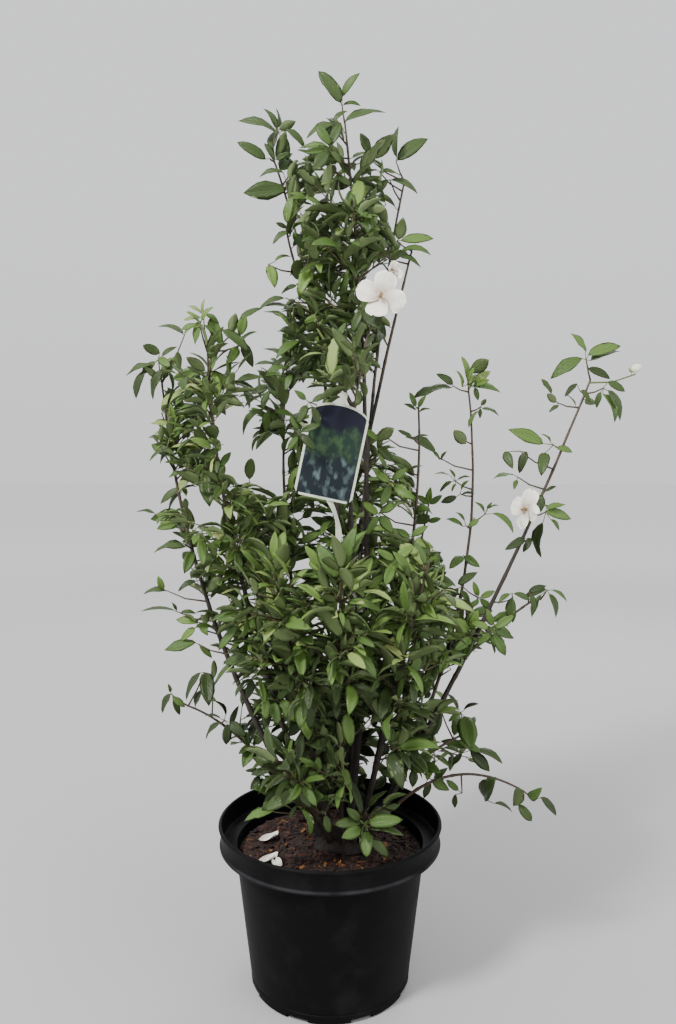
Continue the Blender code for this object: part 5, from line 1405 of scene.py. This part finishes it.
class Blade(NamedTuple):
    """A leaf in its own frame: length, half width, fold, how far it bulges up, twist and ruffle."""

    length: float
    half: float
    fold: float
    bulge: float
    twist: float
    wave: float
    phase: float

    def points(self):
        """x runs across, y along the line from base to tip, and z out of the upper side."""
        points = [(0.0, 0.0, 0.0), (0.0, self.length, 0.0)]
        under = []
        for row in BLADE_ROWS:
            rise = self.length * self.bulge * 4 * row * (1 - row)
            reach = self.half * half_width(row)
            for column in BLADE_COLUMNS:
                is_edge = abs(column) == 1
                tooth = 1 + TOOTH_DEPTH * math.sin(row * 40 + self.phase) if is_edge else 1.0
                x = column * reach * tooth * math.cos(self.fold)
                z = abs(column) * reach * math.sin(self.fold)
                z += reach * BLADE_SWELL * (1 - (2 * abs(column) - 1) ** 2)
                z += self.wave * reach * abs(column) * math.sin(row * 9 + self.phase + column)
                turn = self.twist * (row - 0.4)
                x, z = x * math.cos(turn) - z * math.sin(turn), x * math.sin(turn) + z * math.cos(turn)
                points.append((x, self.length * row, rise + z))
                if not is_edge:
                    under.append((x, self.length * row, rise + z - LEAF_THICKNESS))
        return np.array(points + under)

    def kite(self, base, along, up):
        """The simple solid that stands for the leaf when room is looked for."""
        beside = up.cross(along)
        belly = base + along * self.length * 0.42 + up * self.length * self.bulge
        corners = [base, belly - beside * self.half, belly + beside * self.half]
        corners += [belly + up * LEAF_ROOM, belly - up * LEAF_ROOM, base + along * self.length]
        return np.array(corners)


def pushed_back(point, depth):
    """The point on the same line of sight from the front, this much deeper."""
    return point + (point - EYE) * (depth / (point.y - EYE.y))


class Grower:
    """Grows one mass of foliage from its stem into shared meshes of leaves and twigs."""

    def __init__(self, name, leaves, twigs, taken, spaces):
        self.name, self.leaves, self.twigs = name, leaves, twigs
        self.taken, self.spaces = taken, spaces
        self.curve, self.shoot = curves[name], SHOOTS[name]
        self.chance = random.Random(name)
        self.start = self.curve.length * self.shoot.bare
        self.leaf_length = LEAF_LENGTHS.get(name, LEAF_LENGTH)
        self.count = 0

    def colour_for(self, point, is_tip):
        """Deep greens high in the plant, fresher at the sides and tips, and painted shade: the deepest
        greens low in the middle, where the shade falls.
        """
        odds = UPPER_ODDS if point.z > UPPER_HEIGHT else TIP_ODDS if is_tip else LOWER_ODDS
        # Painted shade: leaves low in the middle get the deepest greens.
        if point.z < SHADY_HEIGHT and point.x < SIDE_REACH:
            odds = SHADY_ODDS
        elif abs(point.x) > SIDE_REACH:
            odds = SIDE_ODDS
        return self.chance.choices(range(len(LEAF_GREENS)), odds)[0]

    def try_blade(self, blade, node, foot, along, up, colour):
        """Adds the blade and its stalk if it stands inside the plant's room and touches nothing."""
        probe = blade.kite(foot, along, up)
        if not inside_box(probe) or not self.taken.is_free(probe, KITE_FACES):
            return False
        turn = np.array([along.cross(up), along, up])
        under = len(LEAF_GREENS) + self.chance.choice((0, 1))
        slots = [under if below else colour for below in BLADE_UNDER]
        self.leaves.add(blade.points() @ turn + np.array(foot), BLADE_FACES, slots, BLADE_UVS)
        end = foot + along * blade.length * 0.03
        wide = PETIOLE_RADIUS * (1.8 if (end - node).length > LONG_STALK else 1.3)
        add_tube(self.twigs, [node, end], [wide, PETIOLE_RADIUS], 3, YOUNG_TWIG)
        self.taken.add(probe, KITE_FACES)
        self.count += 1
        return True

    def any_blade(self, length, half_share, bulge):
        """A blade of this size with its own chance fold, twist and ruffle."""
        chance = self.chance
        fold, twist = chance.uniform(0.10, 0.50), chance.gauss(0.0, 0.30)
        wave, phase = chance.uniform(0.0, 0.18), chance.uniform(0.0, 6.0)
        return Blade(length, length * half_share, fold, bulge, twist, wave, phase)

    def add_leaf(self, node, direction, along, length, colour):
        """A leaf on a short stalk, smaller or left out where it would touch or stray."""
        chance = self.chance
        direction = (direction - DROOP).normalized()
        side = direction.cross(Vector((0.0, 0.0, 1.0)))
        if side.length < 0.35:
            side = direction.cross(along)
        up = Quaternion(direction, chance.gauss(0.0, 0.6)) @ side.cross(direction).normalized()
        foot = node + direction * PETIOLE
        for size in (length, length * SMALLER_LEAF):
            tip = foot + direction * size
            is_out = self.spaces.depth(foot.lerp(tip, 0.8)) > FURTHEST
            if is_out or not in_crown(tip) or not in_crown(foot.lerp(tip, 0.5)):
                continue
            blade = self.any_blade(size, chance.uniform(0.16, 0.215), chance.uniform(0.03, 0.13))
            if self.try_blade(blade, node, foot, direction, up, colour):
                return

    def add_seen_leaf(self, node, base, tip, share, colour):
        """A leaf that runs from base to tip as seen from the front, rolled to look as wide as given."""
        chance = self.chance
        seen = (tip - base).length
        reach = seen * math.sqrt(max(0.0, (share / 0.23) ** 2 - 1)) if share > 0.24 else 0.0
        sway = chance.uniform(-0.25, 0.25) * seen
        for push in SEEN_PUSHES:
            foot = pushed_back(base, push)
            end = pushed_back(tip, push + sway - reach)
            along = (end - foot).normalized()
            length = (end - foot).length
            wide = max(chance.uniform(0.19, 0.225), share * seen / length)
            bulge = chance.uniform(0.03, 0.09) if share > 0.14 else chance.uniform(0.08, 0.14)
            blade = self.any_blade(length, wide, bulge)
            view = (EYE - foot).normalized()
            across = (view - along * view.dot(along)).normalized()
            side = along.cross(across)
            side = -side if side.z < 0 else side
            cosine = min(1.0, share * seen / blade.half)
            up = across * cosine + side * math.sqrt(1 - cosine * cosine)
            up = -up if up.z < -0.3 else up
            if self.try_blade(blade, node, foot, along, up, colour):
                return

    def add_seen_twig(self, node):
        """A twig from the stem's nearest place below it to where a seen spray joins."""
        spots = [self.curve.at(self.curve.length * (0.15 + 0.85 * step / 60))[0] for step in range(61)]
        root = min(spots, key=lambda spot: (spot - node).length + 2 * max(
            0.0, spot.z - node.z + 0.25 * (spot - node).xy.length))
        if (root - node).length > 0.003:
            bend = root.lerp(node, 0.55) - Vector((0.0, 0.0, 0.07 * (node - root).length))
            radii = [TWIG_RADIUS * 1.25, TWIG_RADIUS, TWIG_RADIUS * 0.7]
            add_tube(self.twigs, [root, bend, node], radii, 5, WOODY_TWIG)

    def add_pair(self, node, along, side, spread, length, colour):
        """Two opposite leaves at a node."""
        for sign in (1, -1):
            lean = spread + self.chance.uniform(-0.25, 0.25)
            direction = (along * math.cos(lean) + side * sign * math.sin(lean)).normalized()
            self.add_leaf(node, direction, along, length * self.chance.uniform(0.72, 1.15), colour)

    def add_twig(self, root, direction, length, order=0):
        """A side twig: a pair of leaves at each node, finer twigs where it is long, and a tip leaf."""
        chance = self.chance
        for _ in range(3):
            tip = root + direction * length + Vector((0.0, 0.0, length * TWIG_RISE))
            if in_crown(tip):
                break
            length *= TWIG_SHRINK
        if length < SHORTEST_TWIG * 0.6 or not in_crown(root.lerp(tip, 0.5)):
            return
        bend = root.lerp(tip, 0.5) + Vector((0.0, 0.0, length * chance.uniform(-0.05, 0.02)))
        along = (tip - root).normalized()
        length = (tip - root).length
        radius = TWIG_RADIUS * (1.0 if order == 0 else 0.75)
        ends = (root.lerp(tip, 0.12), tip)
        prism = np.array([corner for spot in ends for corner in ring_of(spot, along, radius, 3)])
        if not inside_box(prism) or not self.taken.is_free(prism, PRISM_FACES):
            return

        def spot_at(share):
            return root.lerp(bend, share * 2) if share < 0.5 else bend.lerp(tip, share * 2 - 1)

        reached = self.count
        leafy = 0.0
        turn = chance.uniform(0.0, math.tau)
        node = FIRST_TWIG_NODE
        turns = 0
        while node < length - 0.002:
            share = node / length
            spot = spot_at(share)
            side = Quaternion(along, turn + turns * math.pi / 2) @ along.orthogonal().normalized()
            colour = self.colour_for(spot, False)
            size = self.leaf_length * (0.80 + 0.25 * math.sin(math.pi * share))
            if order == 0 and length > LONG_TWIG and turns % 2 == 0 and share < 0.7:
                for sign in (1, -1):
                    if chance.random() < SIDE_TWIG_CHANCE:
                        out = (along * 0.55 + side * sign * 0.83).normalized()
                        self.add_twig(spot, out, length * SIDE_TWIG * chance.uniform(0.7, 1.1), 1)
            self.add_pair(spot, along, side, PAIR_SPREAD, size, colour)
            if self.count > reached:
                leafy, reached = share, self.count
            node += TWIG_NODE * chance.uniform(0.85, 1.2)
            turns += 1
        below = self.count
        colour = self.colour_for(tip, True)
        side = Quaternion(along, turn + turns * math.pi / 2) @ along.orthogonal().normalized()
        self.add_pair(tip, along, side, TIP_SPREAD, self.leaf_length * 0.72, colour)
        self.add_leaf(tip, along, side, self.leaf_length * 0.62, colour)
        leafy = 1.0 if self.count > below else leafy
        if not leafy:
            return
        self.taken.add(prism, PRISM_FACES)
        kind = WOODY_TWIG if order == 0 else YOUNG_TWIG
        places = [root, spot_at(leafy / 2), spot_at(leafy)]
        add_tube(self.twigs, places, [radius * 1.15, radius, radius * 0.55], 5, kind)

    def grow(self, turn_number):
        """A cluster at the stem's tip, and pairs of side twigs down the stem, each a right angle on."""
        chance = self.chance
        tip, along = self.curve.at(self.curve.length)
        side = along.orthogonal().normalized()
        if self.name not in SEEN_SPRAYS:
            self.add_leaf(tip, along, side, self.leaf_length * 0.8, self.colour_for(tip, True))
        for (back, spread), across in zip(TIP_PAIRS, (side, along.cross(side), side)):
            node = self.curve.at(self.curve.length - back)[0]
            self.add_pair(node, along, across, spread, self.leaf_length, self.colour_for(node, True))
        turn = chance.uniform(0.0, math.tau)
        distance = self.start + FIRST_NODE + STEM_NODE * turn_number / ROUNDS.get(self.name, 2)
        while distance < self.curve.length - TIP_PAIRS[-1][0] - LAST_GAP:
            node, along = self.curve.at(distance)
            across = Quaternion(along, turn) @ along.orthogonal().normalized()
            share = (distance - self.start) / (self.curve.length - self.start)
            room = self.shoot.reach * reach_share(share) - self.leaf_length * 0.55
            for sign in (1, -1):
                spread = chance.uniform(0.85, 1.25)
                direction = (along * math.cos(spread) + across * sign * math.sin(spread)).normalized()
                self.add_twig(node, direction, max(SHORTEST_TWIG, room * chance.uniform(0.7, 1.1)))
            colour = self.colour_for(node, False)
            self.add_pair(node, along, along.cross(across), STEM_SPREAD, self.leaf_length, colour)
            turn += math.pi / 2 + chance.uniform(-0.3, 0.3)
            distance += STEM_NODE * chance.uniform(0.85, 1.15)


def ring_of(place, along, radius, sides):
    across = along.orthogonal().normalized()
    beside = along.cross(across)
    angles = [math.tau * side / sides for side in range(sides)]
    return [place + (across * math.cos(a) + beside * math.sin(a)) * radius for a in angles]


def inside_box(points):
    """Whether the points keep to the room that the solids take up."""
    low, high = points.min(axis=0), points.max(axis=0)
    return bool((low > np.array(cad_low) + BOX_ROOM).all() and (high < np.array(cad_high) - BOX_ROOM).all())


def leaf_tissue(name, colour, roughness):
    """Living leaf: one green for a whole spray, satin, with sunk veins that arch to the tip."""
    material, tree, shader = new_material(name, roughness, 1.42)
    shader.inputs["Base Color"].default_value = linear(colour)
    shader.inputs["Specular IOR Level"].default_value = 0.36
    place = grown_place(tree)
    out = reckon(tree, "ABSOLUTE", reckon(tree, "SUBTRACT", part_of(tree, place, "X"), 0.5))
    rise = reckon(tree, "MULTIPLY_ADD", out, -1.1, part_of(tree, place, "Y"))
    side_veins = in_range(tree, reckon(tree, "PINGPONG", rise, 0.085), 0.0, 0.028)
    veins = reckon(tree, "MULTIPLY", in_range(tree, out, 0.0, 0.05), side_veins)
    add_bump(tree, shader, veins, 0.0002)
    return material


taken = Taken()
spaces = Spaces()
for obstacle in (cane_piece, card, strap, root_crown, pot, soil):
    points = np.array([vertex.co for vertex in obstacle.data.vertices])
    taken.add(points, [tuple(face.vertices) for face in obstacle.data.polygons])

leaf_finishes = [leaf_tissue(f"leaf green {n}", colour, 0.44) for n, colour in enumerate(LEAF_GREENS)]
leaf_finishes += [leaf_tissue(f"leaf underside {n}", colour, 0.62) for n, colour in enumerate(UNDER_GREENS)]
twig_finishes = [
    cane_bark("twig bark", *TWIG_BROWN, 0.58, 0.0012, 0.0001),
    plain_tissue("green twig", TWIG_GREEN, 0.55),
]
flowers = JoinedMesh()
flower_twigs = JoinedMesh()


def add_stalk(name, place, end_radius):
    """A stalk to a flower from the stem's nearest place below it, and the way it points there."""
    curve = curves[name]
    first, last = curve.length * SHOOTS[name].bare + FIRST_NODE, curve.length - 0.003
    nodes = [curve.at(first + (last - first) * step / 30)[0] for step in range(31)]
    node = min(nodes, key=lambda spot: (spot - place).length + max(0.0, spot.z - place.z + FIRST_NODE))
    bend = node.lerp(place, 0.5) - Vector((0.0, 0.0, 0.004))
    radii = [TWIG_RADIUS * 1.2, TWIG_RADIUS, end_radius]
    add_tube(flower_twigs, [node, bend, place], radii, 6, YOUNG_TWIG)
    return (place - bend).normalized()


for name, blossoms in BLOSSOMS.items():
    for number, blossom in enumerate(blossoms):
        place, facing = Vector(blossom.place), Vector(blossom.facing).normalized()
        add_flower(flowers, blossom, number + len(name))
        add_stalk(name, place - facing * 0.0055, 0.0009)
        spread = PETAL_LENGTH * blossom.size * math.cos(blossom.closed) + 0.002
        lift = facing * PETAL_LENGTH * blossom.size * math.sin(blossom.closed)
        side = facing.orthogonal().normalized()
        disc = [place + Quaternion(facing, math.tau * s / 8) @ side * spread + lift for s in range(8)]
        shield = np.array([*disc, place + facing * 0.014, place - facing * 0.004])
        fan = [(s, (s + 1) % 8, 8) for s in range(8)] + [((s + 1) % 8, s, 9) for s in range(8)]
        taken.add(shield, fan)
for name, place in BUD_PLACES.items():
    place = Vector(place)
    facing = add_stalk(name, place - Vector((0.0, 0.0, 0.006)), 0.0008)
    bud = [place + facing * step for step in (-0.006, -0.004, -0.001, 0.003, 0.006, 0.0072)]
    add_tube(flowers, bud, [0.0014, 0.0034, 0.0046, 0.0044, 0.0024, 0.0006], 16, CREAM)
    add_calyx(flowers, place - facing * 0.004, facing, facing.orthogonal().normalized(), 0.8)

MASS_GROUPS = {
    "upper": [
        "leader", "leader_left", "leader_right", "leader_low_left", "leader_low_right", "leader_front",
    ],
    "left": ["left_outer", "left_inner", "left_mid", "mid_left", "low_left"],
    "right": [
        "right_outer", "right_thin", "right_side", "centre_right", "mid_right", "right_low", "low_right",
    ],
    "front": ["rim_shoot", "low_front", "front_left", "front_centre", "front_right"],
    "back": ["back_left", "back_centre", "back_right", "low_back"],
}
twigs = JoinedMesh()
growers = {}
group_leaves = {group: JoinedMesh() for group in MASS_GROUPS}
for group, names in MASS_GROUPS.items():
    for name in names:
        growers[name] = Grower(name, group_leaves[group], twigs, taken, spaces)
for name, rows in SEEN_SPRAYS.items():
    for row in rows:
        if len(row) == 3:
            (x, _, z), node = row, Vector(row) / 1000
            growers[name].add_seen_twig(node)
            continue
        base_x, base_z, tip_x, tip_z, share, tone = row
        base = Vector(((x + base_x) / 1000, node.y, (z + base_z) / 1000))
        tip = Vector(((x + tip_x) / 1000, node.y, (z + tip_z) / 1000))
        growers[name].add_seen_leaf(node, base, tip, share / 100, tone)
for turn_number in range(MOST_ROUNDS):
    for name, grower in growers.items():
        if turn_number < ROUNDS.get(name, 2):
            grower.grow(turn_number)
for group, names in MASS_GROUPS.items():
    masses = [name + "_leaves" for name in names]
    group_leaves[group].build(group + "_leaves_fine", True, leaf_finishes, "foliage", masses)
twigs.build("twigs", True, twig_finishes, "bark")
flower_twigs.build("flower_stalks", True, twig_finishes, "bark")
flower_finishes = [
    petal_tissue(),
    plain_tissue("stamen thread", STAMEN_YELLOW, 0.5),
    plain_tissue("anther", ANTHER_BROWN, 0.8),
    plain_tissue("calyx", CALYX_GREEN, 0.6),
    plain_tissue("bud cream", PETAL_CREAM, 0.5),
]
flowers.build("blossoms", True, flower_finishes, "blossom")


# Fallen petals
# Two petals and a faded scrap lie on the mulch at the left, where they dropped and curled.
FALLEN_PETALS = [
    ((-0.070, 0.012), -0.35, 0.022), ((-0.066, -0.040), -0.45, 0.021), ((-0.056, -0.050), 2.2, 0.011),
]
CURL_HEIGHT = 0.0050
fallen = JoinedMesh()
for number, ((x, y), heading, length) in enumerate(FALLEN_PETALS):
    shape = petal_place(length, length * 0.50, 0.16, number * 7.0)
    points, faces, uvs = grid_shell(*PETAL_GRID, shape, PETAL_THICKNESS)
    points = np.array(points) - (0.0, length / 2, 0.0)
    turn = np.array(Matrix.Rotation(heading - math.pi / 2, 3, "Z") @ Matrix.Rotation(0.12, 3, "X")).T
    fallen.add(points @ turn + (x, y, ground(x, y) + CURL_HEIGHT), faces, 0, uvs)
fallen.build("fallen_petals", True, [petal_tissue()], "blossom")


# The floor, light and camera
# A pale floor, painted darker near the plant as shade against the lamps' light there and paler far off,
# under soft light from the upper left, seen from where the plant was pictured.
FLOOR_NEAR_SHADE = "#b0aeaf"
FLOOR_FAR = "#edecec"
STUDIO_LOW = "#d4d4d6"
STUDIO_HIGH = "#dddee1"
STUDIO_STRENGTH = 1.44
CAMERA_DIP = 2.84
bpy.ops.object.select_all(action="DESELECT")
bpy.ops.mesh.primitive_circle_add(vertices=96, radius=40.0, fill_type="NGON")
floor = bpy.context.object
floor.name = "floor"
floor_paint, floor_tree, floor_shader = new_material("floor", 0.9)
away = {"operation": "LENGTH", 0: object_place(floor_tree)}
distance = add_node(floor_tree, "ShaderNodeVectorMath", away).outputs["Value"]
# Painted shade: the floor is darkest near the plant, where the lamps light it most, and pales with distance.
floor_colour = blend(floor_tree, in_range(floor_tree, distance, 0.3, 4.5), FLOOR_NEAR_SHADE, FLOOR_FAR)
floor_tree.links.new(floor_colour, floor_shader.inputs["Base Color"])
floor.data.materials.append(floor_paint)
floor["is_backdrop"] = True

world = bpy.data.worlds.new("studio")
world.use_nodes = True
sky = world.node_tree
height = part_of(sky, add_node(sky, "ShaderNodeTexCoord").outputs["Generated"], "Z")
shade = blend(sky, in_range(sky, height, 0.0, 0.30), STUDIO_LOW, STUDIO_HIGH)
sky.links.new(shade, sky.nodes["Background"].inputs["Color"])
sky.nodes["Background"].inputs["Strength"].default_value = STUDIO_STRENGTH
bpy.context.scene.world = world


def add_soft_light(name, place, target, size, power):
    """A square soft box that faces the target."""
    light = bpy.data.lights.new(name, "AREA")
    light.size = size
    light.energy = power
    lamp = bpy.data.objects.new(name, light)
    bpy.context.scene.collection.objects.link(lamp)
    lamp.location = place
    lamp.rotation_euler = (Vector(target) - Vector(place)).to_track_quat("-Z", "Y").to_euler()


MIDDLE = (0.0, 0.0, 0.5)
add_soft_light("key", (-1.4, -1.5, 2.4), MIDDLE, 0.5, 107.0)
add_soft_light("fill", (1.8, -1.4, 1.0), MIDDLE, 1.6, 26.0)
add_soft_light("back", (0.6, 1.8, 1.8), MIDDLE, 1.2, 18.0)

eye = bpy.data.cameras.new("camera")
eye.lens = 28.0
eye.sensor_width = 36.0
camera = bpy.data.objects.new("camera", eye)
bpy.context.scene.collection.objects.link(camera)
camera.location = EYE
camera.rotation_euler = (math.radians(90 - CAMERA_DIP), 0.0, 0.0)
bpy.context.scene.camera = camera

low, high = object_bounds()
